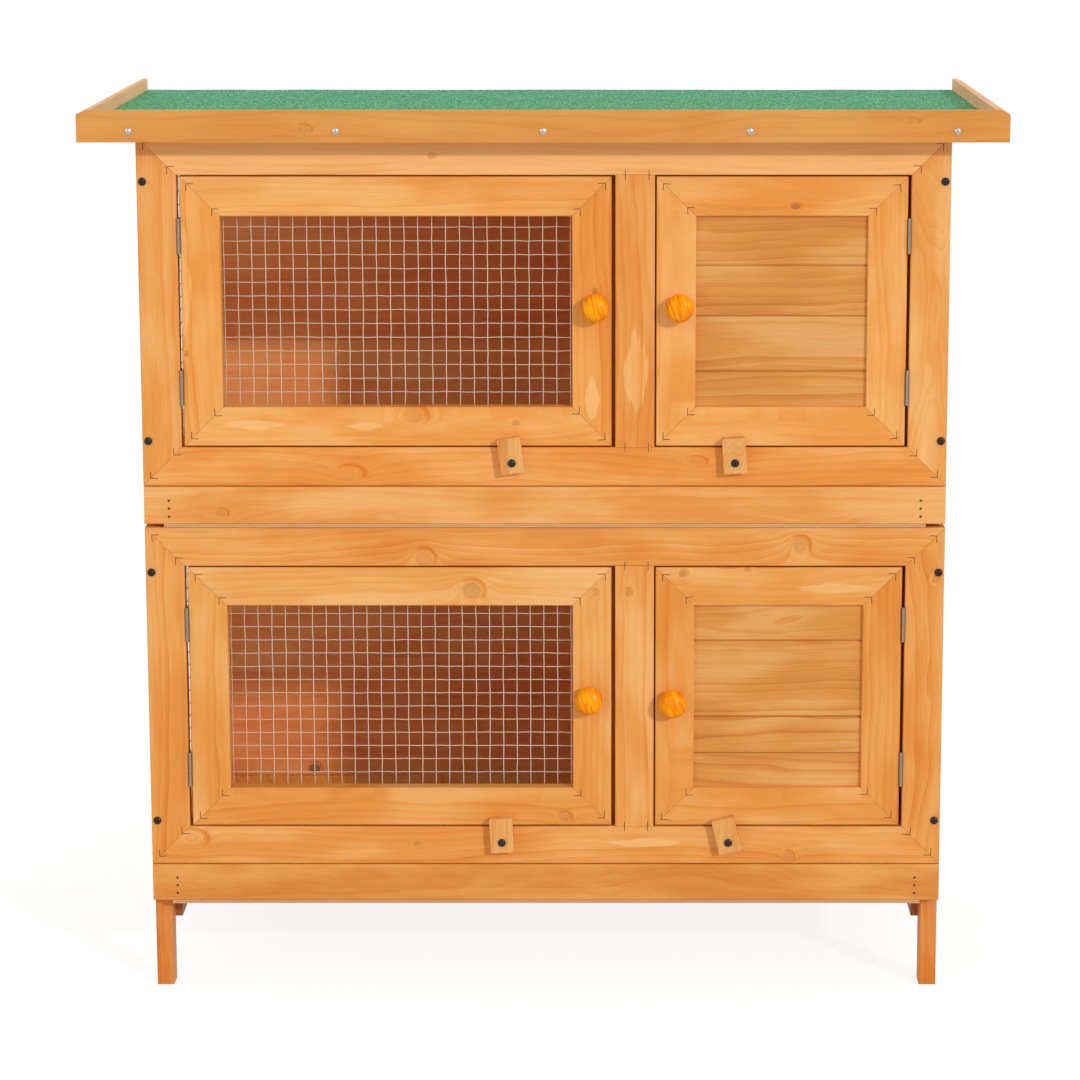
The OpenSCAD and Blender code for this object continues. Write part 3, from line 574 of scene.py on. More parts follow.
@dataclass(frozen=True)
class MineralFelt:
    """Bitumen felt with crushed green slate pressed into it."""

    name: str = "mineral felt"
    grain: float = 1.3
    patches: float = 0.012
    stone: Pair = (0.6, 0.1)
    shades: tuple[Colour, Colour] = (srgb(22, 134, 76), srgb(98, 207, 139))
    strays: tuple[Colour, Colour] = (srgb(180, 222, 196), srgb(24, 70, 46))
    rare: Pair = (0.86, 0.9)
    weather: float = 0.3
    relief: float = 0.5

    def material(self) -> Material:
        """Makes the material."""
        look = Look(self.name)
        spot = look.join(*look.place)
        stones = look.node("ShaderNodeTexVoronoi", {"Vector": spot, "Scale": 1 / self.grain})
        chance = look.node("ShaderNodeSeparateColor", {0: stones.outputs["Color"]}).outputs
        patch = look.noise(spot, self.patches, detail=3.0)
        green = look.blend(chance[0], *self.shades)
        for roll, stray in zip((chance[1], chance[2]), self.strays):
            green = look.blend(look.span(roll, *self.rare), green, stray)
        green = look.scale(green, look.fma(patch, self.weather, 1 - self.weather / 2))
        look.set(Base_Color=green, Roughness=0.9)
        look.bump(look.span(stones.outputs["Distance"], *self.stone), self.relief)
        return look.material


@dataclass(frozen=True)
class Lacquer:
    """Glossy golden lacquer over a turned wooden knob, with slanting grain."""

    name: str
    seed: float
    lean: float = 0.3
    veins: Pair = (0.5, 0.05)
    edge: Pair = (0.42, 0.6)
    shades: tuple[Colour, Colour] = (srgb(250, 164, 6), srgb(238, 126, 0))
    relief: float = 0.05

    def material(self) -> Material:
        """Makes the material."""
        look = Look(self.name)
        place = look.place
        across = look.fma(place[2], self.lean, place[0])
        spot = look.join(look.mul(across, self.veins[0]), look.mul(place[2], self.veins[1]), self.seed)
        vein = look.span(look.noise(spot, detail=3.0, roughness=0.6), *self.edge)
        look.set(Base_Color=look.blend(vein, *self.shades), Roughness=0.4, Specular_IOR_Level=0.06,
                 Coat_Weight=0.1, Coat_Roughness=0.15)
        look.bump(vein, self.relief)
        return look.material


@dataclass(frozen=True)
class Plywood:
    """Thin plywood: pale faces, and edges that show the three plies."""

    name: str
    bottom: float
    ply: float = 1.0
    shades: tuple[Colour, Colour] = (srgb(190, 140, 96), srgb(222, 182, 138))
    core: Colour = srgb(150, 98, 62)
    dark: float = 0.45
    fibres: Pair = (0.04, 0.9)
    relief: float = 0.1

    def material(self) -> Material:
        """Makes the material."""
        look = Look(self.name)
        place = look.place
        level = look.math("DIVIDE", look.sub(place[2], self.bottom), self.ply)
        middle = look.math("COMPARE", level, 1.5, 0.5)
        spot = look.join(look.mul(place[0], self.fibres[0]), look.mul(place[1], self.fibres[1]), level)
        fibre = look.noise(spot, detail=3.0)
        face = look.blend(fibre, *self.shades)
        look.set(Base_Color=look.blend(look.mul(middle, self.dark), face, self.core), Roughness=0.7)
        look.bump(fibre, self.relief)
        return look.material


def paint(node: str, material: Material) -> None:
    """Gives a CAD node one material in all its slots.

    Args:
        node: The node's name.
        material: Its new material.
    """
    slots = FRAME["nodes"][node].material_slots
    for slot in slots:
        slot.material = material
    if not slots:
        FRAME["nodes"][node].data.materials.append(material)
    LOG.info("dressed %s in %s", node, material.name)


class Nodes(Graph):
    """A Geometry Nodes tree with named inputs, which makes one piece."""

    def __init__(self, name: str, sizes: dict[str, float]) -> None:
        """Makes the tree and its inputs.

        Args:
            name: The tree's name.
            sizes: Its inputs and their values.
        """
        super().__init__(bpy.data.node_groups.new(name, "GeometryNodeTree"))
        face = self.tree.interface
        numbers = {key: "Int" if isinstance(value, int) else "Float" for key, value in sizes.items()}
        kinds = {"Geometry": "Geometry", **numbers, "Material": "Material"}
        self.keys = {key: face.new_socket(key, in_out="INPUT", socket_type=f"NodeSocket{kind}").identifier
                     for key, kind in kinds.items()}
        face.new_socket("Geometry", in_out="OUTPUT", socket_type="NodeSocketGeometry")
        self.sizes = sizes
        self.given = self.node("NodeGroupInput").outputs

    def end(self, geometry: Socket) -> None:
        """Realizes the instances, sets the material and gives the result."""
        real = self.out("GeometryNodeRealizeInstances", {0: geometry})
        inputs = {"Geometry": real, "Material": self.given["Material"]}
        self.node("NodeGroupOutput", {0: self.out("GeometryNodeSetMaterial", inputs)})

    def grow(self, name: str, seeds: bpy.types.Mesh, material: Material) -> bpy.types.Object:
        """Runs the tree once and keeps its result as a plain mesh.

        Args:
            name: The new piece's name.
            seeds: The mesh that the tree starts from.
            material: The piece's material.

        Returns:
            The piece, without a modifier.
        """
        piece = put(name, seeds)
        modifier = piece.modifiers.new(name, "NODES")
        modifier.node_group = self.tree
        for key, value in {**self.sizes, "Material": material}.items():
            modifier[self.keys[key]] = value
        depsgraph = bpy.context.evaluated_depsgraph_get()
        done = bpy.data.meshes.new_from_object(piece.evaluated_get(depsgraph), depsgraph=depsgraph)
        piece.modifiers.clear()
        piece.data = done
        done.name = name
        return piece


@dataclass
class JointNails:
    """Thin steel nails over the joints of one body: V nails on mitres, straight ones on butt joints."""

    name: str
    body: str
    material: Material
    leg: float = 6.5
    butt: float = 9.0
    gauge: float = 0.6
    depth: float = 2.5
    proud: float = 0.05
    jitter: float = 0.09
    skew: float = 0.4
    seed: int = 3
    legs: list[tuple[float, float, float, float]] = field(default_factory=list)

    def mitres(self, frame: tuple[float, ...], insets: tuple[float, ...] = (7.5, 28.5)) -> None:
        """Adds V nails at the four mitres of a frame, their points outwards.

        Args:
            frame: The frame's left, lower, right and upper edge.
            insets: Distances of the nails' points from both edges.
        """
        dice = random.Random(self.seed)
        for side, x in ((-1, frame[0]), (1, frame[2])):
            for end, z in ((-1, frame[1]), (1, frame[3])):
                for inset in insets:
                    slip = [dice.uniform(-1.0, 1.0) for _ in range(3)]
                    at_x = x - side * (inset + slip[0])
                    at_z = z - end * (inset + slip[0] + self.skew * slip[1])
                    tilt = self.jitter * slip[2]
                    self.legs.append((at_x, at_z, tilt + (0.0 if side > 0 else math.pi), 1.0))
                    self.legs.append((at_x, at_z, tilt - end * math.pi / 2, 1.0))

    def straight(self, x: float, z: float) -> None:
        """Adds an upright nail across a butt joint at this place and height."""
        self.legs.append((x, z + self.butt / 2, -math.pi / 2, self.butt / self.leg))

    def tree(self) -> Nodes:
        """Makes the tree that puts one flat leg at each point."""
        sizes = {key: getattr(self, key.lower()) * MM for key in ("Leg", "Gauge", "Depth", "Proud")}
        graph = Nodes(self.name, sizes)
        given = graph.given
        size = graph.join(given["Leg"], given["Depth"], given["Gauge"])
        bar = graph.out("GeometryNodeMeshCube", {"Size": size})
        inward = graph.sub(graph.mul(given["Depth"], 0.5), given["Proud"])
        aside = graph.join(graph.mul(given["Leg"], -0.5), inward, 0.0)
        bar = graph.out("GeometryNodeTransform", {"Geometry": bar, "Translation": aside})
        turn = self.attribute(graph, "turn")
        euler = graph.out("FunctionNodeEulerToRotation", {0: graph.join(0.0, turn, 0.0)})
        inputs = {"Points": given["Geometry"], "Instance": bar, "Rotation": euler,
                  "Scale": graph.join(self.attribute(graph, "stretch"), 1.0, 1.0)}
        graph.end(graph.out("GeometryNodeInstanceOnPoints", inputs))
        return graph

    @staticmethod
    def attribute(graph: Nodes, name: str) -> Socket:
        """Reads a number that each point carries."""
        return graph.out("GeometryNodeInputNamedAttribute", {"Name": name}, data_type="FLOAT")

    def build(self) -> None:
        """Makes the piece and fixes it to its body."""
        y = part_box("lower_frame_rails")[0].y
        seeds = bpy.data.meshes.new(self.name)
        seeds.from_pydata([(x * MM, y, z * MM) for x, z, _, _ in self.legs], [], [])
        for key, column in (("turn", 2), ("stretch", 3)):
            values = seeds.attributes.new(key, "FLOAT", "POINT")
            values.data.foreach_set("value", [leg[column] for leg in self.legs])
        piece = self.tree().grow(self.name, seeds, self.material)
        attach(piece, self.body)
        LOG.info("built %s on %s", self.name, self.body)


@dataclass
class WireMesh:
    """Welded mesh that replaces the straight wires of one CAD node with slightly wavy ones."""

    node: str
    body: str
    material: Material
    columns: int
    rows: int
    panels: int = 1
    sides: int = 6
    turned: bool = False
    pitch: float = 12.7
    wire: float = 0.9
    bite: float = 0.15
    over: float = 1.0
    seed: float = 0.0
    sway: float = 0.9
    bulge: float = 1.6
    bends: float = 4.0
    kinks: Pair = (45.0, 54.0)
    swells: float = 14.0
    held: Pair = (0.014, 0.06)

    def wires(self, graph: Nodes, upright: bool) -> Socket:
        """Adds one family of straight wires as curves.

        Args:
            graph: The tree.
            upright: Whether they stand, or lie.

        Returns:
            The curves.
        """
        given = graph.given
        long, wide = (given[key] for key in (("Rows", "Columns") if upright else ("Columns", "Rows")))
        end = graph.add(graph.mul(long, given["Pitch"]), given["Over"])
        start = graph.mul(given["Over"], -1.0)
        back = 0.0 if upright else graph.sub(given["Wire"], given["Bite"])
        ends = [graph.join(0.0, back, v) if upright else graph.join(v, back, 0.0) for v in (start, end)]
        line = graph.out("GeometryNodeCurvePrimitiveLine", {"Start": ends[0], "End": ends[1]})
        count = graph.fma(long, self.bends, 1.0)
        line = graph.out("GeometryNodeResampleCurve", {"Curve": line, "Count": count})
        step = graph.join(given["Pitch"], 0.0, 0.0) if upright else graph.join(0.0, 0.0, given["Pitch"])
        points = graph.out("GeometryNodeMeshLine", {"Count": graph.add(wide, 1.0), "Offset": step})
        copies = graph.out("GeometryNodeInstanceOnPoints", {"Points": points, "Instance": line})
        return graph.out("GeometryNodeRealizeInstances", {0: copies})

    def tree(self, seed: float) -> Nodes:
        """Makes the tree: two families of wires, bent together and given their thickness.

        Args:
            seed: Picks the bends.

        Returns:
            The tree.
        """
        sizes = {"Columns": self.columns, "Rows": self.rows, "Seed": seed}
        for key in ("Pitch", "Wire", "Bite", "Over", "Sway", "Bulge"):
            sizes[key] = getattr(self, key.lower()) * MM
        graph = Nodes(f"{self.node}_tree", sizes)
        given = graph.given
        both = graph.node("GeometryNodeJoinGeometry")
        for upright in (False, True):
            graph.tree.links.new(self.wires(graph, upright), both.inputs[0])
        position = graph.out("GeometryNodeInputPosition")
        place = graph.node("ShaderNodeSeparateXYZ", {0: position}).outputs
        spot = graph.join(place[0], given["Seed"], place[2])
        shift = []
        for scale in self.kinks:
            kink = graph.sub(graph.noise(spot, scale, detail=3.0, roughness=0.6), 0.5)
            shift.append(graph.mul(graph.mul(kink, 2.0), given["Sway"]))
        sides = [graph.math("MINIMUM", at, graph.sub(graph.mul(given[key], given["Pitch"]), at))
                 for key, at in (("Columns", place[0]), ("Rows", place[2]))]
        free = graph.span(graph.math("MINIMUM", *sides), *self.held)
        swell = graph.noise(spot, self.swells, detail=1.0)
        out = graph.mul(graph.mul(swell, free), given["Bulge"])
        move = graph.join(shift[0], out, shift[1])
        bent = graph.out("GeometryNodeSetPosition", {"Geometry": both.outputs[0], "Offset": move})
        inputs = {"Resolution": self.sides, "Radius": graph.mul(given["Wire"], 0.5)}
        ring = graph.out("GeometryNodeCurvePrimitiveCircle", inputs)
        inputs = {"Curve": bent, "Profile Curve": ring, "Fill Caps": True}
        graph.end(graph.out("GeometryNodeCurveToMesh", inputs))
        return graph

    def build(self) -> None:
        """Makes the panels, joins them and puts them in the CAD node's place."""
        low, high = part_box(self.node)
        height = (self.rows * self.pitch + 2 * self.over) * MM
        pieces = []
        for index in range(self.panels):
            seeds = bpy.data.meshes.new(self.node)
            seeds.from_pydata([(0, 0, 0)], [], [])
            piece = self.tree(self.seed + index).grow(f"{self.node}_{index}", seeds, self.material)
            foot = low.z if index == 0 else high.z - height
            over, half = self.over * MM, self.wire * MM / 2
            move = Matrix.Translation((low.x + over, low.y + half, foot + over))
            if self.turned:
                move = Matrix.Translation((low.x + half, high.y - over, foot + over))
                move = move @ Matrix.Rotation(-math.pi / 2, 4, "Z")
            piece.data.transform(move)
            pieces.append(piece)
        piece, *others = pieces
        if others:
            joined = bmesh.new()
            for part in pieces:
                joined.from_mesh(part.data)
            joined.to_mesh(piece.data)
            joined.free()
        for other in others:
            bpy.data.objects.remove(other)
        piece.name = f"{self.node}_wires"
        for polygon in piece.data.polygons:
            polygon.use_smooth = True
        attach(piece, self.body)
        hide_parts(self.node)
        LOG.info("built %s for %s", piece.name, self.node)


FRAME_STAIN = Stain(srgb(242, 184, 116), srgb(231, 153, 73), srgb(216, 122, 38), 0.5, 0.4)
# Painted shade: the lower storey's frame takes the frame stain dimmed to 0.95, a darker copy that stands in
# for the lower storey getting less light. The tray walls and the back boards' outside faces use the same
# dimmed frame stain.
SHADED_LOWER_FRAME_STAIN = FRAME_STAIN.dimmed(0.95)
DOOR_STAIN = Stain(srgb(242, 184, 114), srgb(233, 155, 72), srgb(218, 126, 40), 0.5, 0.4).dimmed(0.98)
# Painted shade: the lower doors take the door stain dimmed to 0.95, a darker copy that stands in for the
# lower storey getting less light.
SHADED_LOWER_DOOR_STAIN = DOOR_STAIN.dimmed(0.95)
PANEL_STAIN = Stain(srgb(226, 172, 106), srgb(213, 142, 68), srgb(192, 114, 48), 0.7, 0.4, 0.1)
POST_STAIN = Stain(srgb(224, 148, 82), srgb(212, 122, 46), srgb(200, 104, 32), 0.6, 0.5)
TRIM_STAIN = Stain(srgb(224, 162, 90), srgb(214, 143, 68), srgb(202, 124, 50), 0.5, 0.3)
TRAY_STAIN = Stain(srgb(230, 166, 92), srgb(219, 146, 70), srgb(202, 116, 46), 0.4, 0.6)
WALL_STAIN = Stain(srgb(240, 172, 102), srgb(236, 143, 78), srgb(210, 106, 54), 0.25, 0.24, 0.25, 0.6)
# Painted shade: the tray runners take a darker stain that stands in for the shade their ends lie in.
SHADED_RUNNER_STAIN = Stain(srgb(196, 128, 76), srgb(172, 100, 52), srgb(148, 80, 40), 0.6, 0.3)
BUTTON_STAIN = Stain(srgb(230, 174, 106), srgb(222, 154, 84), srgb(206, 132, 60), 1.0, roughness=0.6)
STRIP_STAIN = Stain(srgb(252, 210, 164), srgb(250, 194, 146), srgb(240, 174, 120), 0.5, roughness=0.65)


def knots(*rows: tuple[float, ...]) -> tuple[Knot, ...]:
    """Makes knots or bare patches from rows of their values."""
    return tuple(Knot(*row) for row in rows)


@dataclass
class Carcass:
    """Posts, side, walls, front frames and what is fixed to them."""

    nails: Material
    wire: Material
    body: str = "carcass"
    board: float = 93.0
    back_board: float = 86.5
    back_first: float = 76.5
    rail: float = 36.0
    butt_nails: Pair = (74.0, 95.5)

    def dress(self) -> None:
        """Gives each piece of timber its stain and grain."""
        lower, upper = edges("lower_frame_rails"), edges("upper_frame_rails")
        width = lower[2] - lower[0]
        left = lower[0] - width / 4
        lower_knots = knots((236, 428.5, 8, 1.0, 0.2), (-112, 417, 8, 1.1, 0.15), (-122, 143, 2.0, 1.4, 0.5),
                            (228, 131, 4.5, 1.0, 0.2), (-333, 148, 8, 1.6, 0.0))
        upper_knots = knots((-102, 788, 3.0, 1.3, 0.3), (140, 508, 4.0, 2.0, 0.1), (-180, 497, 6, 2.0, 0.0))
        stile_knots = knots((384, 77, 3.0, 1.3, 0.35), (397, 362, 3.0, 1.5, 0.3))
        Pine("lower_frame_rails", SHADED_LOWER_FRAME_STAIN, Grain.ALONG_X, pair=True, seed=4.1,
             knots=lower_knots, mitre=lower, tones_and_painted_light=(0.08, 0.0), bare=knots((94, 144, 4.5, 7.0))).apply()
        Pine("upper_frame_rails", FRAME_STAIN, Grain.ALONG_X, pair=True, seed=9.6,
             knots=upper_knots, mitre=upper, tones_and_painted_light=(0.05, -0.45)).apply()
        Pine("lower_frame_stiles", SHADED_LOWER_FRAME_STAIN, Grain.ALONG_Z, left, width / 2, seed=2.2,
             knots=stile_knots, mitre=lower, tones_and_painted_light=(0.05, -0.2, 0.15)).apply()
        Pine("upper_frame_stiles", FRAME_STAIN.dimmed(0.97), Grain.ALONG_Z, left, width / 2, seed=7.4,
             mitre=upper, tones_and_painted_light=(0.1, 0.1, -0.2), bare=knots((591, 84.5, 12, 3.2))).apply()
        Pine("front_posts", POST_STAIN, Grain.ALONG_Z, -WIDE, WIDE, seed=1.3,
             knots=knots((60, -350, 4.5, 2.0, 0.45))).apply()
        Pine("rear_posts", POST_STAIN, Grain.ALONG_Z, -WIDE, WIDE, seed=5.8).apply()
        rails = corners("left_side_rails")[0].z
        Pine("left_side_rails", FRAME_STAIN, Grain.ALONG_Y, rails - 60, 300, seed=3.7).apply()
        boards = corners("right_side_boards")[0].z
        Pine("right_side_boards", FRAME_STAIN, Grain.ALONG_Y, boards, self.board, seed=6.1).apply()
        back = corners("back_boards")[0].z + self.back_first - self.back_board
        # The sixth back board from the bottom is made paler as a painted pool of the key light that falls
        # through the upper mesh door; the lowest board is paler too.
        Pine("back_boards", WALL_STAIN, Grain.ALONG_X, back, self.back_board, seed=8.3,
             knots=knots((-246, 121, 5.5, 1.25, 0.95)),
             tones_and_painted_light=(-0.2, 0.0, 0.0, 0.0, 0.0, -0.2), outside=SHADED_LOWER_FRAME_STAIN).apply()
        Pine("partitions", WALL_STAIN, Grain.ALONG_Y, 460.0, WIDE, seed=1.9).apply()
        Pine("door_stop_battens", WALL_STAIN, Grain.ALONG_Z, 83.0, WIDE, seed=2.9).apply()
        Pine("tray_runners", SHADED_RUNNER_STAIN, Grain.ALONG_Y, 200.0, WIDE, seed=3.9).apply()

    def fit(self) -> None:
        """Adds the nails of the two front frames and the mesh of the left side."""
        nails = JointNails("frame_joint_nails", self.body, self.nails)
        for node in ("lower_frame_rails", "upper_frame_rails"):
            frame = edges(node)
            nails.mitres(frame)
            for z in (frame[1] + self.rail, frame[3] - self.rail):
                for x in self.butt_nails:
                    nails.straight(x, z)
        nails.build()
        WireMesh("left_side_mesh", self.body, self.wire, columns=26, rows=22, panels=2, turned=True,
                 seed=5.0).build()


@dataclass
class Roof:
    """Roof boards, felt and trim."""

    felt: Material
    boards: int = 5
    cells: tuple[int, int] = (150, 76)
    wave: float = 0.75
    # Shares of the broad and the small waves, how many there are in a metre, and their noise's layer
    waves: tuple[tuple[float, ...], ...] = ((0.75, 22, 16, 3.0), (0.25, 90, 60, 8.0))

    def dress(self) -> None:
        """Gives the roof's timber its stain and grain."""
        low, high = corners("roof_boards")
        cover = (high.y - low.y) / self.boards
        Pine("roof_boards", WALL_STAIN, Grain.FLAT_X, low.y, cover, seed=4.4).apply()
        Pine("roof_fascia", TRIM_STAIN, Grain.ALONG_X, seed=7.9,
             knots=knots((-215, 815, 4, 1.6, 0.12), (330, 822, 3, 2.0, 0.12))).apply()
        Pine("roof_side_strips", STRIP_STAIN, Grain.FLAT_Y, 0.0, WIDE, seed=3.1).apply()

    def dip(self, x: float, y: float) -> float:
        """Gives how far the felt lies under its highest level, at a place in metres."""
        level = sum(share * noise.noise(Vector((x * across, y * deep, layer)))
                    for share, across, deep, layer in self.waves)
        return self.wave * MM * (0.5 + 0.5 * level)

    def lay_felt(self) -> None:
        """Makes the felt: a thin skin that lies a little wavy on the boards."""
        low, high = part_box("roof_felt")
        across, deep = self.cells
        spots = [(low.x + (high.x - low.x) * i / across, low.y + (high.y - low.y) * j / deep)
                 for j in range(deep + 1) for i in range(across + 1)]
        points = [(x, y, low.z) for x, y in spots] + [(x, y, high.z - self.dip(x, y)) for x, y in spots]
        row, count = across + 1, len(spots)
        faces = []
        for j in range(deep):
            for i in range(across):
                a = j * row + i
                b = a + row
                faces.append((a, b, b + 1, a + 1))
                faces.append((count + a, count + a + 1, count + b + 1, count + b))
        rim = [*range(across)] + [j * row + across for j in range(deep)]
        rim += [deep * row + i for i in range(across, 0, -1)] + [j * row for j in range(deep, 0, -1)]
        for a, b in zip(rim, rim[1:] + rim[:1]):
            faces.append((a, b, count + b, count + a))
        mesh = bpy.data.meshes.new("roof_felt_skin")
        mesh.from_pydata(points, [], faces)
        mesh.materials.append(self.felt)
        piece = put("roof_felt_skin", mesh)
        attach(piece, "carcass")
        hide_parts("roof_felt")
        LOG.info("built roof_felt_skin")


@dataclass
class Door:
    """One door, with mesh or boards."""

    name: str
    nails: Material
    wire: Material
    seed: float
    rail_knots: tuple[Knot, ...] = ()
    stile_knots: tuple[Knot, ...] = ()
    stain: Stain = DOOR_STAIN
    seam: float = 0.0
    cover: float = 300.0
    insets: Pair = (6.5, 29.0)
    rail_depths: Pair = (0.0, 0.0)
    stile_depths: Pair = (0.0, 0.0)
    board_depths: tuple[float, ...] = ()
    rail_bare: tuple[Knot, ...] = ()
    stile_bare: tuple[Knot, ...] = ()

    def dress(self) -> None:
        """Gives the door's timber its stain and grain, and the knob its lacquer."""
        mitre = edges(f"{self.name}_rails")
        Pine(f"{self.name}_rails", self.stain, Grain.ALONG_X, pair=True, seed=self.seed,
             knots=self.rail_knots, mitre=mitre, tones_and_painted_light=self.rail_depths, bare=self.rail_bare).apply()
        Pine(f"{self.name}_stiles", self.stain, Grain.ALONG_Z, pair=True, seed=self.seed + 3.3,
             knots=self.stile_knots, mitre=mitre, tones_and_painted_light=self.stile_depths, bare=self.stile_bare).apply()
        if self.seam:
            boards = corners(f"{self.name}_boards")[0].z + self.seam - self.cover
            Pine(f"{self.name}_boards", PANEL_STAIN, Grain.ALONG_X, boards, self.cover, ring=8.0,
                 seed=self.seed + 5.1, tones_and_painted_light=self.board_depths, joints=0.6).apply()
        paint(f"{self.name}_knob", Lacquer(f"lacquer {self.name}", self.seed).material())

    def fit(self) -> None:
        """Adds the V nails of the mitres and the door's own mesh."""
        nails = JointNails(f"{self.name}_joint_nails", self.name, self.nails, seed=int(self.seed * 10))
        nails.mitres(edges(f"{self.name}_rails"), self.insets)
        nails.build()
        if not self.seam:
            WireMesh(f"{self.name}_mesh", self.name, self.wire, columns=27, rows=16, seed=self.seed).build()


@dataclass
class Tray:
    """One pull-out tray."""

    name: str
    seed: float
    stain: Stain
    knots: tuple[Knot, ...] = ()

    def dress(self) -> None:
        """Gives the tray's boards their stain and its bottom its plies."""
        Pine(f"{self.name}_front", self.stain, Grain.ALONG_X, seed=self.seed, knots=self.knots).apply()
        Pine(f"{self.name}_walls", SHADED_LOWER_FRAME_STAIN, Grain.ALONG_Y, seed=self.seed + 1.7).apply()
        bottom = corners(f"{self.name}_bottom")[0].z
        paint(f"{self.name}_bottom", Plywood(f"plywood {self.name}", bottom).material())


@dataclass(frozen=True)
class Lamp:
    """A distant lamp, with the degrees that it stands to the right of the front and above the ground,
    its strength, and how many degrees it seems wide."""

    name: str
    azimuth: float
    height: float
    energy: float
    softness: float
    colour: tuple[float, float, float] = (1.0, 0.985, 0.96)

    def shine(self) -> None:
        """Adds the lamp."""
        data = bpy.data.lights.new(self.name, "SUN")
        data.energy = self.energy
        data.angle = math.radians(self.softness)
        data.color = self.colour
        lamp = put(self.name, data)
        azimuth, height = math.radians(self.azimuth), math.radians(self.height)
        lamp.location = (math.sin(azimuth) * math.cos(height), -math.cos(azimuth) * math.cos(height),
                         math.sin(height))
        lamp.rotation_euler = (-lamp.location).to_track_quat("-Z", "Y").to_euler()


@dataclass
class Studio:
    """Floor, light and camera."""

    eye: tuple[float, float, float] = (0.0528, -3.502, 1.078)
    pitch: float = 10.99
    focal: float = 121.8
    shift: float = -0.0574
    lamps: tuple[Lamp, ...] = (Lamp("key", 34.0, 21.0, 1.4, 4.0), Lamp("side", -58.0, 15.0, 0.5, 50.0))
    fill: float = 0.64
    floor_size: float = 60.0
    floor_greys: Pair = (0.8, 0.25)
    floor_glow: float = 0.85

    def aim(self) -> None:
        """Adds the camera."""
        data = bpy.data.cameras.new("camera")
        data.lens = self.focal
        data.shift_x = self.shift
        data.clip_end = 200.0
        camera = put("camera", data)
        camera.location = self.eye
        camera.rotation_euler = (math.radians(90 - self.pitch), 0, 0)
        bpy.context.scene.camera = camera

    def light(self) -> None:
        """Adds the key lamp, a broad soft one further to the side and the even light all round."""
        for lamp in self.lamps:
            lamp.shine()
        world = bpy.data.worlds.new("studio")
        bpy.context.scene.world = world
        world.use_nodes = True
        graph = Graph(world.node_tree)
        strength = graph.fma(self.seen(graph), 1.0 - self.fill, self.fill)
        light = graph.out("ShaderNodeBackground", {0: (1.0, 1.0, 1.0, 1.0), 1: strength})
        graph.node("ShaderNodeOutputWorld", {0: light})

    @staticmethod
    def seen(graph: Graph) -> Socket:
        """Gives 1 for rays from the camera or off gloss and glass, and 0 for the others."""
        rays = graph.node("ShaderNodeLightPath").outputs
        direct = graph.math("MAXIMUM", rays["Is Camera Ray"], rays["Is Glossy Ray"])
        return graph.math("MAXIMUM", direct, rays["Is Transmission Ray"])

    def lay_floor(self) -> None:
        """Adds a white floor that keeps a faint shadow."""
        half = self.floor_size / 2
        mesh = bpy.data.meshes.new("floor")
        square = [(-half, -half, 0), (half, -half, 0), (half, half, 0), (-half, half, 0)]
        mesh.from_pydata(square, [], [(0, 1, 2, 3)])
        floor = put("floor", mesh)
        material = bpy.data.materials.new("floor")
        material.use_nodes = True
        graph = Graph(material.node_tree)
        matt, faint = (graph.out("ShaderNodeBsdfDiffuse", {0: (grey, grey, grey, 1.0)})
                       for grey in self.floor_greys)
        glow = graph.out("ShaderNodeEmission", {0: (1.0, 1.0, 1.0, 1.0), 1: self.floor_glow})
        white = graph.out("ShaderNodeAddShader", {0: faint, 1: glow})
        both = graph.out("ShaderNodeMixShader", {0: self.seen(graph), 1: matt, 2: white})
        graph.node("ShaderNodeOutputMaterial", {0: both})
        mesh.materials.append(material)


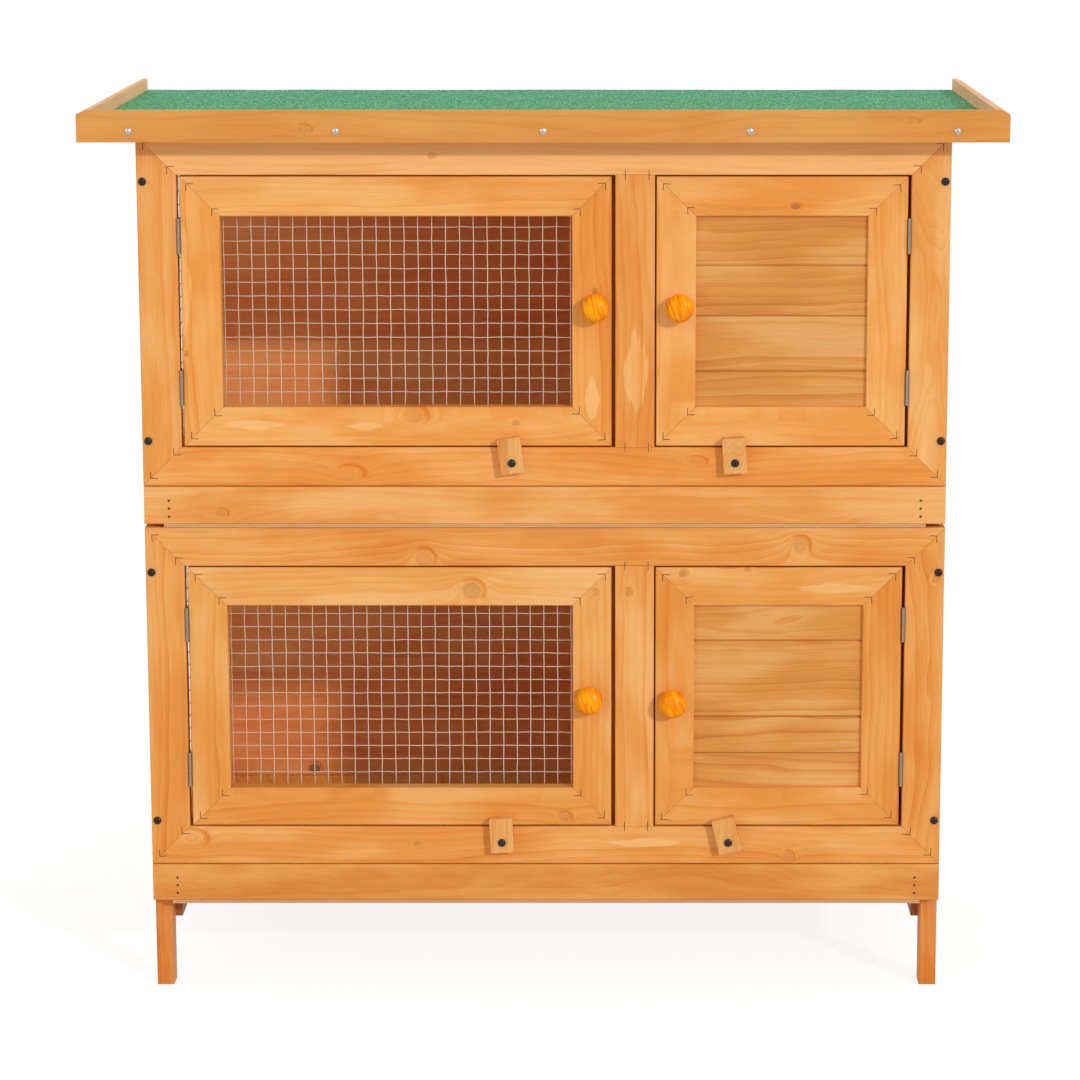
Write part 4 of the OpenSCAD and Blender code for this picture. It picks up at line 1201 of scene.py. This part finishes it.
def main() -> None:
    """Builds the looks in order."""
    logging.basicConfig(level=logging.INFO, format="%(name)s: %(message)s")
    FRAME.update(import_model())
    bpy.context.scene.view_settings.view_transform = "Standard"
    studio = Studio()
    studio.aim()
    studio.light()
    studio.lay_floor()

    zinc = Metal("zinc plate", srgb(142, 136, 130), 0.9, 0.45).material()
    bright = Metal("bright plate", srgb(180, 180, 180), 1.0, 0.3, 0.4, 1.5).material()
    wire = Metal("galvanised wire", srgb(212, 198, 178), 0.6, 0.45).material()
    black = Metal("black phosphate", srgb(20, 18, 18), 0.2, 0.5, 0.3).material()
    nail = Metal("nail steel", srgb(66, 48, 36), 0.4, 0.6, 0.3).material()
    sunk = Metal("sunk nail heads", srgb(106, 70, 40), 0.2, 0.7, 0.3).material()

    carcass = Carcass(nail, wire)
    carcass.dress()
    carcass.fit()
    roof = Roof(MineralFelt().material())
    roof.dress()
    roof.lay_felt()
    doors = (
        Door("upper_mesh_door", nail, wire, 1.2,
             knots((-120, 550, 8, 1.3, 0.12), (-27, 542.5, 2.5, 1.3, 0.3)),
             knots((664.5, 46, 2.6, 1.0, 0.5), (607, -328.5, 2.0, 1.2, 0.4), (733, -334, 1.6, 1.5, 0.4)),
             rail_depths=(-0.05, 0.05), stile_depths=(0.0, 0.15),
             rail_bare=knots((-266, 541.5, 5, 6.0), (-165, 540, 4, 5.0)),
             stile_bare=knots((673, -329, 7, 7.0), (565, 44, 7, 2.6))),
        Door("upper_solid_door", nail, wire, 6.5, knots((228.7, 742.5, 2.8, 1.8, 0.7)),
             rail_depths=(0.0, 0.05), stile_depths=(-0.15, -0.15), seam=90.0, board_depths=(0.0, 0.05)),
        Door("lower_mesh_door", nail, wire, 3.8,
             knots((-68, 386, 9, 1.1, 0.3), (18, 169, 4.5, 1.3, 0.25)),
             knots((384, 46, 2.8, 1.2, 0.25)), stain=SHADED_LOWER_DOOR_STAIN,
             rail_depths=(0.0, -0.35), stile_depths=(-0.1, 0.0)),
        Door("lower_solid_door", nail, wire, 8.7,
             knots((127.5, 402, 3.5, 1.2, 0.5), (187, 406, 2.5, 1.2, 0.35)), stain=SHADED_LOWER_DOOR_STAIN,
             rail_bare=knots((268, 388, 5, 7.0)), seam=39.0, stile_depths=(0.2, 0.05)),
    )
    for door in doors:
        door.dress()
        door.fit()
        paint(f"{door.name}_hinge_leaves", zinc)
        paint(f"{door.name}_{'screws' if door.seam else 'fixings'}", zinc)
        Pine(f"{door.name}_button", BUTTON_STAIN, Grain.ALONG_Z, seed=door.seed + 2.0, ring=6.0).apply()
    for tray in (Tray("upper_tray", 5.3, FRAME_STAIN.dimmed(0.95), knots((-299, 459, 4, 1.4, 0.15))),
                 Tray("lower_tray", 2.6, TRAY_STAIN)):
        tray.dress()
        paint(f"{tray.name}_nails", sunk)
    for node in ("left_side_staples", "frame_hinge_leaves", "hinge_pins", "frame_hinge_screws"):
        paint(node, zinc)
    paint("roof_screws", bright)
    for node in ("frame_screws", "button_screws"):
        paint(node, black)


if __name__ == "__main__":
    main()
